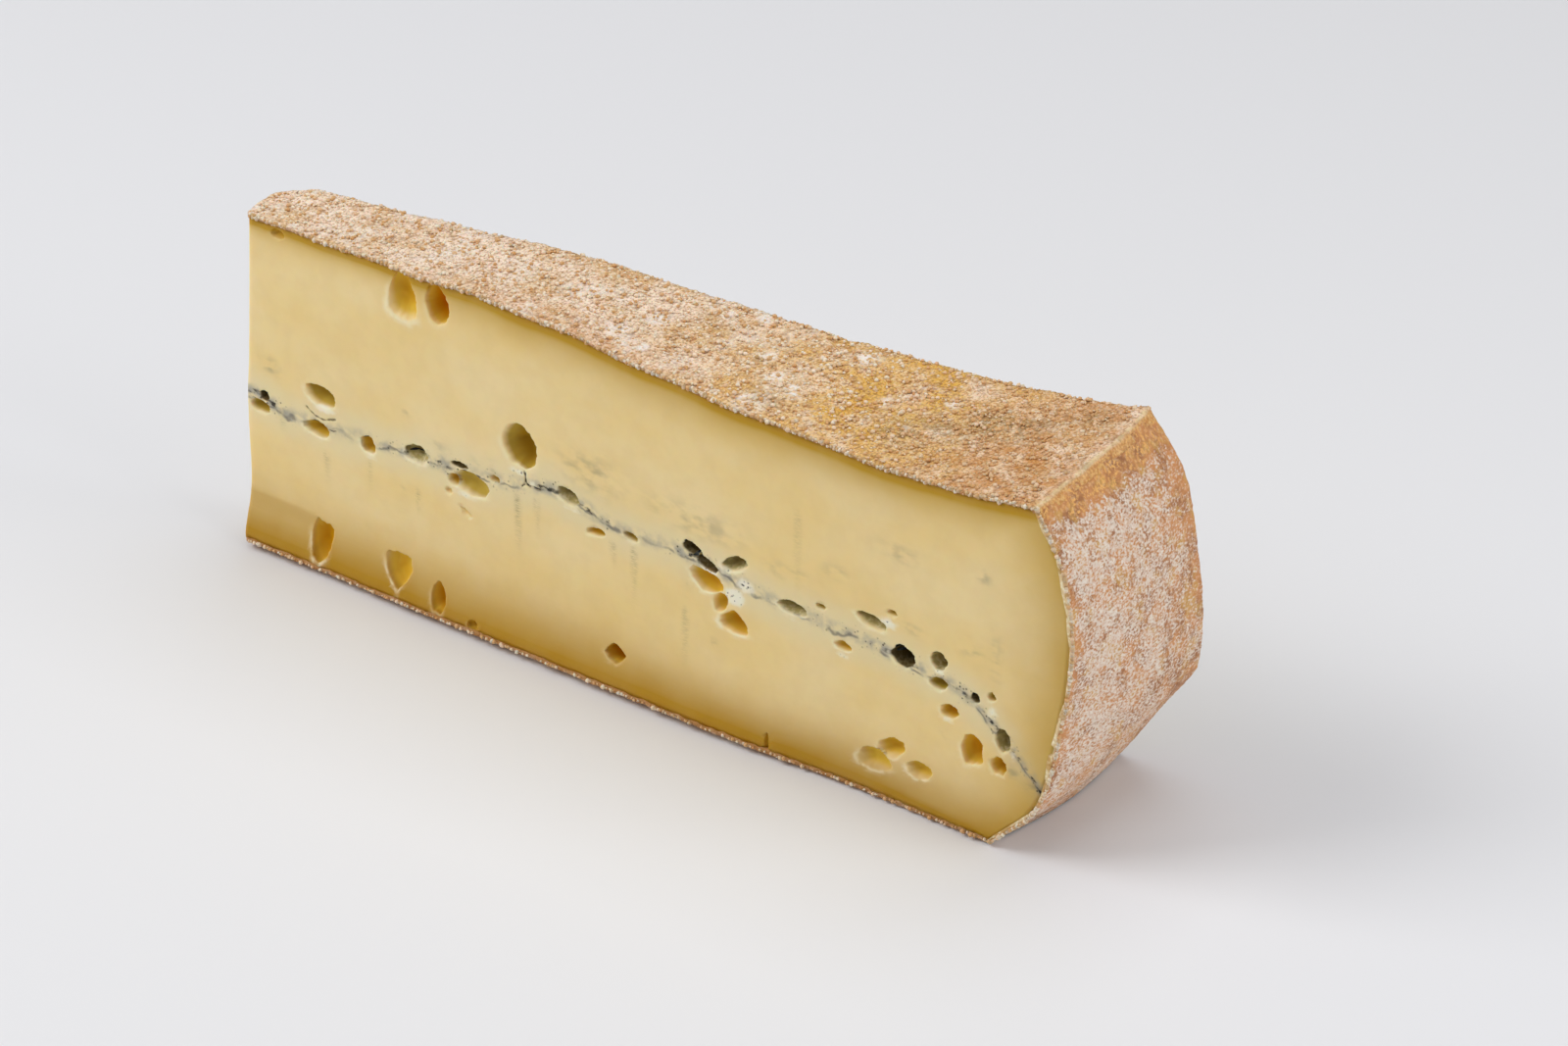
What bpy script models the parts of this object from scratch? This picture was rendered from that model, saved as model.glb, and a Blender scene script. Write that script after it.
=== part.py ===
"""Morbier wedge: a long slice of a pressed cow's-milk wheel, standing on its rind.

The slice is two layers of paste with a seam of ash between them. It tapers from the
wheel's rim, the heel, to a blunt tip. The rind on the top, the heel and the base is the
skin of the paste, so it belongs to the same solids. Gas eyes open in both cut faces.

Lengths in the constants are millimetres. X runs from the tip to the heel, Y from the
front cut to the back cut, and Z up. The origin is the middle of the base's box.

Run it with: blender --background --python part.py
"""

import math
import random

import bmesh
import bpy
from mathutils import Matrix, Vector, noise

MM = 0.001

# The slice.
HEIGHT = 67.8
TIP_WIDTH = 12.7
TAPER = 0.15
BASE_LENGTH = 168.5

# The heel bellies out under the top rim and tucks in at the base. Each line gives where it
# is at each height: at the front cut, at the back cut, and how far it bows out between them.
HEEL_FRONT = (
    (0.0, 160.2), (4.7, 164.9), (8.3, 168.4), (14.0, 171.4), (21.0, 173.2), (28.0, 174.4),
    (36.0, 175.6), (45.4, 176.1), (52.6, 175.2), (57.2, 174.1), (62.2, 171.6), (67.8, 168.2),
)
HEEL_BACK = (
    (0.0, 161.3), (4.3, 164.3), (11.6, 168.9), (20.4, 174.6), (24.0, 175.4), (29.0, 175.7),
    (36.0, 175.3), (43.0, 174.3), (50.6, 173.2), (55.6, 172.1), (60.8, 169.9), (67.8, 164.8),
)
HEEL_BOW = ((0.0, 2.3), (14.0, 1.4), (34.0, 0.9), (68.0, 0.7))

# The blunt tip and the foot, where the soft paste has spread. The tip's line gives its
# place at each height.
TIP_LINE = (
    (0.0, -4.4), (2.2, -5.2), (5.0, -5.2), (9.0, -4.8), (14.0, -4.6), (22.0, -4.7),
    (31.0, -4.6), (38.0, -3.9), (50.0, -3.1), (68.0, -2.0),
)
TIP_BOW = 1.3
TIP_CORNER = 4.0
TIP_CORNER_FROM = 0.6
FOOT_FLARE = 2.4
FOOT_HEIGHT = 17.0
FOOT_FADES = (95.0, 135.0)

# The upper rind dips along its length and lifts again into the wheel's rim. It also climbs a
# little towards the back cut.
TOP_LINE = (
    (-9.0, 67.5), (31.0, 67.8), (60.0, 68.1), (92.0, 66.0), (130.0, 64.6), (152.0, 65.5), (170.0, 67.8),
)
TOP_CLIMB = 0.034

# The base is flat, but its front edge curls up a little, except by the heel.
EDGE_LIFT = 0.9
EDGE_LIFT_WIDTH = 4.0
EDGE_LIFT_ENDS = (122.0, 152.0)

# The seam of ash: its height along the slice, drooping at the heel.
ASH_LINE = (
    (-9.0, 31.8), (0.0, 30.6), (6.0, 29.6), (24.0, 30.5), (43.0, 31.9), (54.0, 32.8),
    (67.0, 35.4), (80.0, 32.8), (94.0, 33.1), (103.0, 32.2), (111.0, 30.9), (127.0, 30.1),
    (136.0, 29.6), (145.0, 28.7), (153.0, 27.6), (158.0, 25.4), (162.0, 22.6), (166.0, 19.0),
    (170.0, 15.0), (176.0, 11.5),
)
ASH_THICKNESS = 1.2
ASH_SWELL = 0.3
ASH_SWELL_SIZE = 7.0
ASH_ROLL = 1.1
ASH_ROLL_SIZE = 16.0
ASH_REACH = 0.968
SEAM_CLOSES = (168.2, 171.6)
FIT_GAP = 0.3

# Broad unevenness of cut faces and rind, with the size of its lumps.
KNIFE_WOBBLE = 0.25
WOBBLE_SIZE = 25.0
RIND_LUMPS = 0.45
LUMP_SIZE = 11.0

# How finely each block is divided: along, across and up.
STEPS_ALONG = 54
STEPS_ACROSS = 6
STEPS_UP = 7
END_EASE = 0.45
SETTLING_ROUNDS = 14

# Eyes in the front cut: x, height, width, tall, depth, and lean in degrees, which is
# positive where the end towards the heel is the lower one.
FRONT_EYES = (
    (33.2, 62.4, 7.4, 9.6, 2.6, 0.0),
    (41.2, 63.0, 5.4, 8.2, 5.0, 0.0),
    (-0.9, 28.4, 4.2, 2.6, 2.2, 0.0),
    (12.9, 35.6, 7.4, 5.8, 4.0, 0.0),
    (12.1, 27.6, 6.6, 3.0, 2.4, 0.0),
    (24.0, 29.2, 3.5, 3.8, 3.2, 25.0),
    (35.1, 30.0, 5.4, 4.2, 3.4, -8.0),
    (46.6, 29.0, 9.6, 5.2, 3.2, 0.0),
    (59.1, 41.4, 7.9, 8.2, 5.5, 0.0),
    (12.9, 6.4, 4.8, 8.6, 3.8, 8.0),
    (31.0, 7.0, 6.0, 7.4, 2.2, 0.0),
    (40.5, 5.0, 3.5, 5.9, 3.0, 0.0),
    (70.1, 34.6, 5.0, 3.2, 3.4, 10.0),
    (75.9, 29.4, 4.7, 2.0, 2.6, 0.0),
    (83.9, 31.2, 3.6, 2.2, 2.8, 0.0),
    (99.2, 33.2, 7.6, 3.0, 5.0, 20.0),
    (107.0, 35.0, 5.6, 2.8, 3.8, -25.0),
    (100.7, 27.2, 8.4, 4.6, 3.0, -15.0),
    (106.4, 22.7, 6.0, 5.2, 3.6, 20.0),
    (118.7, 30.2, 6.3, 2.8, 3.6, 0.0),
    (129.4, 26.9, 3.8, 2.0, 2.0, 0.0),
    (135.4, 33.6, 6.0, 2.7, 3.4, 15.0),
    (141.9, 29.4, 4.6, 4.4, 5.5, 0.0),
    (149.4, 31.6, 3.5, 3.6, 4.2, 0.0),
    (149.3, 26.2, 3.8, 2.3, 3.2, 0.0),
    (151.7, 22.3, 3.8, 2.6, 3.0, -25.0),
    (156.5, 16.7, 4.1, 5.5, 4.4, 0.0),
    (162.6, 20.3, 3.2, 4.2, 3.6, 10.0),
    (161.8, 14.9, 3.3, 3.0, 3.0, 0.0),
    (140.1, 9.9, 5.6, 4.0, 3.0, -25.0),
    (135.2, 7.0, 6.0, 4.0, 2.2, -15.0),
    (145.2, 8.4, 5.4, 3.4, 2.6, -10.0),
    (80.4, 7.5, 4.2, 3.2, 4.2, 0.0),
)
EYE_SINK = 0.3
EYE_ROUGHNESS = 0.12
EYE_ROUGH_PITCH = 5.0
EYE_FINENESS = 2

# Eyes in the back cut: two of three open along the ash, the others near the base.
BACK_EYES = 14
BACK_EYE_SEED = 11
BACK_EYE_SPAN = (10.0, 158.0)
BACK_EYE_FROM_ASH = (-4.0, 3.0)
BACK_EYE_LOW = (8.0, 17.0)
BACK_EYE_WIDTH = (3.4, 7.4)
BACK_EYE_TALL = (2.8, 6.0)
BACK_EYE_DEPTH = (2.4, 4.4)
BACK_EYE_LEAN = (-30.0, 30.0)
BACK_EYE_LEVEL = 30.0


def mix(first, second, share):
    """The value that lies this share of the way from first to second."""
    return first + (second - first) * share


def eased(share):
    """A share of 0 to 1 that moves slowly at both ends."""
    share = min(max(share, 0.0), 1.0)
    return share * share * (3.0 - 2.0 * share)


def passed(at, span):
    """How far a place has passed through a span, as an eased share."""
    return eased((at - span[0]) / (span[1] - span[0]))


def along_line(stations, at):
    """The height of a smooth line through the stations, each a place and a height."""
    if at <= stations[0][0]:
        return stations[0][1]
    if at >= stations[-1][0]:
        return stations[-1][1]
    last = len(stations) - 1
    k = next(i for i in range(last) if at <= stations[i + 1][0])
    (x0, y0), (x1, y1) = stations[k], stations[k + 1]

    def slope(i):
        low, high = max(i - 1, 0), min(i + 1, last)
        return (stations[high][1] - stations[low][1]) / (stations[high][0] - stations[low][0])

    t, width = (at - x0) / (x1 - x0), x1 - x0
    start, end = slope(k) * width, slope(k + 1) * width
    return (
        (2 * t**3 - 3 * t**2 + 1) * y0
        + (t**3 - 2 * t**2 + t) * start
        + (3 * t**2 - 2 * t**3) * y1
        + (t**3 - t**2) * end
    )


def lumps(x, y, z, size):
    """Smooth noise from about -1 to 1, with lumps of that size."""
    return noise.noise(Vector((x, y, z)) / size)


def top_height(x, y):
    """Height of the upper rind."""
    return along_line(TOP_LINE, x) + TOP_CLIMB * y + RIND_LUMPS * lumps(x, y, HEIGHT, LUMP_SIZE)


def base_height(x, y):
    """Height of the base: flat, but lifted a little along the front edge."""
    lift = EDGE_LIFT * (1.0 - passed(x, EDGE_LIFT_ENDS))
    return lift * max(0.0, 1.0 - (y + FOOT_FLARE) / EDGE_LIFT_WIDTH) ** 2


def ash_height(x, y):
    """Height of the middle of the ash seam, which rolls a little across the slice."""
    roll = lumps(x, y, 0.0, ASH_ROLL_SIZE) - lumps(x, 0.0, 0.0, ASH_ROLL_SIZE)
    return along_line(ASH_LINE, x) + ASH_ROLL * roll


def seam_closing(x):
    """1 along the slice and 0 at the heel, where the two pastes meet under the rind."""
    return 1.0 - passed(x, SEAM_CLOSES)


def half_seam(x, y):
    """Half the thickness of the ash."""
    return 0.5 * (ASH_THICKNESS + ASH_SWELL * lumps(x, y, HEIGHT, ASH_SWELL_SIZE))


def ash_top(x, y):
    """Height of the upper side of the ash."""
    return ash_height(x, y) + half_seam(x, y)


def ash_bottom(x, y):
    """Height of the under side of the ash."""
    return ash_height(x, y) - half_seam(x, y)


def upper_base(x, y):
    """Under side of the upper paste, a gap above the ash."""
    return ash_height(x, y) + mix(0.5 * FIT_GAP, half_seam(x, y) + FIT_GAP, seam_closing(x))


def lower_top(x, y):
    """Top of the lower paste, a gap below the ash."""
    return ash_height(x, y) - mix(0.5 * FIT_GAP, half_seam(x, y) + FIT_GAP, seam_closing(x))


def heel_x(z, across):
    """Where the heel's rind is, at a height and a share of the way across."""
    bow = along_line(HEEL_BOW, z) * math.sin(math.pi * across)
    return mix(along_line(HEEL_FRONT, z), along_line(HEEL_BACK, z), across) + bow


def tip_x(z, across):
    """Where the blunt tip is: bowed out, with its back corner rounded off."""
    corner = TIP_CORNER * max(0.0, (across - TIP_CORNER_FROM) / (1.0 - TIP_CORNER_FROM)) ** 2
    return along_line(TIP_LINE, z) - TIP_BOW * math.sin(math.pi * across) + corner


def foot(x, z):
    """How far the foot of a cut face has spread, which fades towards the heel."""
    return FOOT_FLARE * (1.0 - passed(x, FOOT_FADES)) * max(0.0, 1.0 - z / FOOT_HEIGHT) ** 2


def front_y(x, z):
    """The front cut."""
    return KNIFE_WOBBLE * lumps(x, 0.0, z, WOBBLE_SIZE) - foot(x, z)


def back_y(x, z):
    """The back cut, which widens towards the heel."""
    return TIP_WIDTH + TAPER * x + KNIFE_WOBBLE * lumps(x, HEIGHT, z, WOBBLE_SIZE) + foot(x, z)


def place(along, across, up, low, high, reach=1.0):
    """The point of a block between two height functions, from three shares of 0 to 1."""
    along = along - END_EASE * math.sin(2.0 * math.pi * along) / (2.0 * math.pi)
    x, y, z = BASE_LENGTH * along, 0.0, 0.0
    for _ in range(SETTLING_ROUNDS):
        z = mix(low(x, y), high(x, y), up)
        y = mix(front_y(x, z), back_y(x, z), across)
        x = mix(tip_x(z, across), heel_x(z, across), along * reach)
    return Vector((x, y, z))


def named_material(name, colour, roughness):
    """A plain Principled material."""
    material = bpy.data.materials.new(name)
    material.use_nodes = True
    shader = material.node_tree.nodes["Principled BSDF"]
    shader.inputs["Base Color"].default_value = (*colour, 1.0)
    shader.inputs["Roughness"].default_value = roughness
    shader.inputs["Metallic"].default_value = 0.0
    return material


def block(name, low, high, steps_up, material, collection, reach=1.0):
    """A cube divided into a grid and shaped to lie between two height functions."""
    shape = bmesh.new()
    bmesh.ops.create_cube(shape, size=1.0, matrix=Matrix.Translation((0.5, 0.5, 0.5)))
    for axis, steps in enumerate((STEPS_ALONG, STEPS_ACROSS, steps_up)):
        lines = [
            edge for edge in shape.edges
            if abs((edge.verts[0].co - edge.verts[1].co)[axis]) > 0.5
        ]
        if steps > 1:
            bmesh.ops.subdivide_edges(shape, edges=lines, cuts=steps - 1, use_grid_fill=True)
    for vertex in shape.verts:
        vertex.co = place(*vertex.co, low, high, reach) * MM
    bmesh.ops.recalc_face_normals(shape, faces=shape.faces)
    mesh = bpy.data.meshes.new(name)
    shape.to_mesh(mesh)
    shape.free()
    mesh.materials.append(material)
    mesh.set_sharp_from_angle(angle=math.radians(40.0))
    solid = bpy.data.objects.new(name, mesh)
    collection.objects.link(solid)
    return solid


def eye_cutter(name, centre, size, lean, collection):
    """A slightly lumpy ellipsoid that opens one eye. Its size is width, depth and tall."""
    shape = bmesh.new()
    bmesh.ops.create_icosphere(shape, subdivisions=EYE_FINENESS, radius=0.5)
    turn = Matrix.Rotation(math.radians(lean), 3, "Y")
    for vertex in shape.verts:
        rough = 1.0 + EYE_ROUGHNESS * noise.noise(vertex.co * EYE_ROUGH_PITCH + centre)
        scaled = Vector(a * b for a, b in zip(vertex.co * rough, size))
        vertex.co = (turn @ scaled) * MM
    mesh = bpy.data.meshes.new(name)
    shape.to_mesh(mesh)
    shape.free()
    cutter = bpy.data.objects.new(name, mesh)
    cutter.location = centre * MM
    cutter.hide_render = True
    cutter.display_type = "WIRE"
    collection.objects.link(cutter)


def front_eyes(collection):
    """The eyes of the front cut, as its table says."""
    for number, (x, z, width, tall, depth, lean) in enumerate(FRONT_EYES, 1):
        centre = Vector((x, front_y(x, z) + EYE_SINK * depth, z))
        size = (width, 2.0 * depth * (1.0 - EYE_SINK), tall)
        eye_cutter(f"front_eye_{number:02d}", centre, size, lean, collection)


def back_eyes(collection):
    """The eyes of the back cut, spread evenly along it and each drawn at random."""
    draw = random.Random(BACK_EYE_SEED)
    for number in range(BACK_EYES):
        x = mix(*BACK_EYE_SPAN, (number + draw.uniform(0.2, 0.8)) / BACK_EYES)
        if number % 3 == 2:
            z = draw.uniform(*BACK_EYE_LOW)
        else:
            z = ash_height(x, back_y(x, BACK_EYE_LEVEL)) + draw.uniform(*BACK_EYE_FROM_ASH)
        depth = draw.uniform(*BACK_EYE_DEPTH)
        centre = Vector((x, back_y(x, z) - EYE_SINK * depth, z))
        tall, width = draw.uniform(*BACK_EYE_TALL), draw.uniform(*BACK_EYE_WIDTH)
        size = (width, 2.0 * depth * (1.0 - EYE_SINK), tall)
        lean = draw.uniform(*BACK_EYE_LEAN)
        eye_cutter(f"back_eye_{number + 1:02d}", centre, size, lean, collection)


def open_eyes(solid, cutters):
    """Cuts every eye out of a solid."""
    cut = solid.modifiers.new("eyes", "BOOLEAN")
    cut.operation = "DIFFERENCE"
    cut.operand_type = "COLLECTION"
    cut.collection = cutters
    cut.solver = "EXACT"


def stand_at_origin(solids, cutters):
    """Hangs everything under an empty that puts the middle of the base at the origin."""
    corners = [vertex.co for solid in solids for vertex in solid.data.vertices]
    low = Vector(min(corner[i] for corner in corners) for i in range(3))
    high = Vector(max(corner[i] for corner in corners) for i in range(3))
    stand = bpy.data.objects.new("base_middle", None)
    stand.location = Vector((-(low.x + high.x) / 2, -(low.y + high.y) / 2, -low.z))
    bpy.context.scene.collection.objects.link(stand)
    for piece in [*solids, *cutters.objects]:
        piece.parent = stand


def build():
    """Clears the scene and builds the wedge."""
    for old in list(bpy.data.objects):
        bpy.data.objects.remove(old, do_unlink=True)
    wedge = bpy.data.collections.new("morbier_wedge")
    cutters = bpy.data.collections.new("cutters")
    for collection in (wedge, cutters):
        bpy.context.scene.collection.children.link(collection)

    paste = named_material("paste", (0.70, 0.53, 0.25), 0.45)
    ash = named_material("ash", (0.10, 0.11, 0.12), 0.80)
    solids = [
        block("lower_paste", base_height, lower_top, STEPS_UP, paste, wedge),
        block("ash_layer", ash_bottom, ash_top, 1, ash, wedge, ASH_REACH),
        block("upper_paste", upper_base, top_height, STEPS_UP, paste, wedge),
    ]
    front_eyes(cutters)
    back_eyes(cutters)
    for solid in solids:
        open_eyes(solid, cutters)
    stand_at_origin(solids, cutters)


build()
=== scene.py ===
"""Morbier wedge: the dressed piece of cheese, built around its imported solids.

The paste is one waxy body with gas eyes opened in both cut faces and a broken line of ash
running round it. A seam of ash lies through the paste and crumbles out of the cut. The rind
is laid over it in sandy skins, with loose sugary grains and crumbs on top.

Lengths are millimetres in the slice's own frame, whose X runs from the tip to the heel along
the front cut, Y into the slice and Z up. They turn into metres round the base's middle when a
mesh is placed.
"""

from __future__ import annotations

import itertools
import logging
import math
import random
from collections.abc import Callable, Sequence
from dataclasses import dataclass
from enum import Enum

import bmesh
import bpy
import numpy as np
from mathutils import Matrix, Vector, noise

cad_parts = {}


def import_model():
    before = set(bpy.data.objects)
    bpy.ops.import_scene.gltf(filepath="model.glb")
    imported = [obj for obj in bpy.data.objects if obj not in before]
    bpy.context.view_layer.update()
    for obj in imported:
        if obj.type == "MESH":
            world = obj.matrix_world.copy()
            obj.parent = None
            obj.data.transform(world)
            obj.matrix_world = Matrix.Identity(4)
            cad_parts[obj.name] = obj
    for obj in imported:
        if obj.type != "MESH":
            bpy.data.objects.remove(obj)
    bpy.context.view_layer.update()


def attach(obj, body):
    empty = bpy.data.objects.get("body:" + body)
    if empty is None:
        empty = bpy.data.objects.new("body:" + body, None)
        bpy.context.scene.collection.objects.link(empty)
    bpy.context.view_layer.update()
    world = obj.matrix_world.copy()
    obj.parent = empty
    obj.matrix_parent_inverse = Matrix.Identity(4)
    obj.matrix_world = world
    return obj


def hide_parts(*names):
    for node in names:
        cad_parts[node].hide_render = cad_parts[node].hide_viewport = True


MM = 0.001
ORIGIN = (84.8953, 18.3427, 0.0)
SETTLING_ROUNDS = 12

log = logging.getLogger("morbier")

Stations = tuple[tuple[float, float], ...]
Points = np.ndarray
Piece = bpy.types.Object
Material = bpy.types.Material


# Numbers ---------------------------------------------------------------------------------


def mix(first, second, share):
    """The value that lies this share of the way from first to second."""
    return first + (second - first) * share


def eased(share: Points) -> Points:
    """A share held to 0 to 1 that moves slowly at both ends."""
    share = np.clip(share, 0.0, 1.0)
    return share * share * (3.0 - 2.0 * share)


def passed(at: Points, span: tuple[float, float]) -> Points:
    """How far places have passed through a span, as an eased share."""
    return eased((at - span[0]) / (span[1] - span[0]))


def fading(gap: Points, width: float | Points, power: float = 2) -> Points:
    """A share that is one where there is no gap and fades out over about that width."""
    return np.exp(-((gap / width) ** power))


def dome(near: Points, reach: float) -> Points:
    """The height of a round grain, as a share, at distances from its middle."""
    return np.sqrt(np.maximum(0.0, 1.0 - (near / reach) ** 2))


def points_of(x: Points | float, y: Points | float, z: Points | float) -> Points:
    """Points from their three coordinates, any of which may be one number for all."""
    return np.stack(np.broadcast_arrays(x, y, z), axis=-1)


def blots(x: Points, y: Points, spots: Sequence) -> Points:
    """How much soft spots cover points, each spot a middle, two sizes and a strength."""
    covered = np.zeros_like(x)
    for at_x, at_y, wide, tall, strength in spots:
        spot = np.exp(-(((x - at_x) / wide) ** 2) - ((y - at_y) / tall) ** 2)
        covered = np.maximum(covered, strength * spot)
    return covered


def along_line(stations: Stations, at: Points) -> Points:
    """The heights of a smooth line through stations.

    Args:
        stations: Pairs of a place and a height, in order.
        at: The places to read.

    Returns:
        The height at each place, level beyond both ends.
    """
    places, heights = np.array(stations, dtype=float).T
    slopes = np.empty_like(heights)
    slopes[1:-1] = (heights[2:] - heights[:-2]) / (places[2:] - places[:-2])
    slopes[0] = (heights[1] - heights[0]) / (places[1] - places[0])
    slopes[-1] = (heights[-1] - heights[-2]) / (places[-1] - places[-2])
    at = np.clip(np.asarray(at, dtype=float), places[0], places[-1])
    k = np.clip(np.searchsorted(places, at, side="left") - 1, 0, len(places) - 2)
    width = places[k + 1] - places[k]
    t = (at - places[k]) / width
    return (
        (2 * t**3 - 3 * t**2 + 1) * heights[k]
        + (t**3 - 2 * t**2 + t) * slopes[k] * width
        + (3 * t**2 - 2 * t**3) * heights[k + 1]
        + (t**3 - t**2) * slopes[k + 1] * width
    )


def chances(cells: Points, seed: int) -> Points:
    """Three numbers of 0 to 1 for each whole-number cell, always the same for a seed."""
    cells = cells.astype(np.int64)
    mixed = (cells[:, 0] * 73856093) ^ (cells[:, 1] * 19349663) ^ (cells[:, 2] * 83492791)
    mixed = mixed ^ (seed * 2654435761)
    mixed = (mixed ^ (mixed >> 13)) * 1274126177
    mixed ^= mixed >> 16
    return np.stack([(mixed >> shift) & 1023 for shift in (0, 10, 20)], axis=-1) / 1023.0


def lumps(points: Points, size: float, seed: int = 1) -> Points:
    """Smooth noise from about -1 to 1 at points, with lumps of that size."""
    scaled = np.asarray(points, dtype=float) / size
    cell = np.floor(scaled)
    part = scaled - cell
    ease = part**3 * (part * (part * 6 - 15) + 10)
    total = np.zeros(len(scaled))
    for corner in itertools.product((0, 1), repeat=3):
        slope = chances(cell + corner, seed) * 2.0 - 1.0
        weight = np.prod(np.where(corner, ease, 1.0 - ease), axis=1)
        total += weight * (slope * (part - corner)).sum(axis=1)
    return total * 1.6


def roughened(height: Points | float, points: Points, layers: Sequence) -> Points:
    """A height at points with layers of lumps added, each with its own height, size and seed."""
    for tall, size, seed in layers:
        height = height + tall * lumps(points, size, seed)
    return height


def grains(points: Points, size: float, seed: int = 1) -> tuple[Points, Points, Points]:
    """Packed grains round scattered middles.

    Args:
        points: Where to read them.
        size: How far apart the middles are.
        seed: Which scatter to use.

    Returns:
        The distance to the grain's middle, the distance to its border, both as shares of
        the size, and the grain's own chance number.
    """
    scaled = np.asarray(points, dtype=float) / size
    cell = np.floor(scaled)
    near = np.full(len(scaled), 9.0)
    second, tone = near.copy(), np.zeros(len(scaled))
    for corner in itertools.product((-1, 0, 1), repeat=3):
        chance = chances(cell + corner, seed)
        gap = np.linalg.norm(cell + corner + chance - scaled, axis=1)
        closer = gap < near
        second = np.where(closer, near, np.minimum(second, gap))
        tone = np.where(closer, (chance[:, 0] * 7.31 + chance[:, 2] * 3.7) % 1.0, tone)
        near = np.where(closer, gap, near)
    return near, second - near, tone


class LumpTable:
    """Broad lumps over a plane, read between the points of a 1 mm table."""

    ALONG = (-14.0, 185.0)

    def __init__(self, place: Callable[[float, float], tuple], size: float, second_span: tuple) -> None:
        """Fills the table.

        Args:
            place: Turns the plane's two coordinates into a point of space.
            size: The size of the lumps.
            second_span: The lowest and highest second coordinate.
        """
        self.first = np.arange(*self.ALONG)
        self.second = np.arange(second_span[0], second_span[1] + 1.0)
        self.table = np.array([
            [noise.noise(Vector(place(a, b)) / size) for b in self.second] for a in self.first
        ])

    def at(self, first: Points, second: Points) -> Points:
        """The lumps at places, each between the table's four nearest."""
        first = np.clip(first - self.first[0], 0.0, len(self.first) - 1.001)
        second = np.clip(second - self.second[0], 0.0, len(self.second) - 1.001)
        i, j = first.astype(int), second.astype(int)
        u, v = first - i, second - j
        low = mix(self.table[i, j], self.table[i + 1, j], u)
        high = mix(self.table[i, j + 1], self.table[i + 1, j + 1], u)
        return mix(low, high, v)


# The slice's form --------------------------------------------------------------------------


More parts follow.
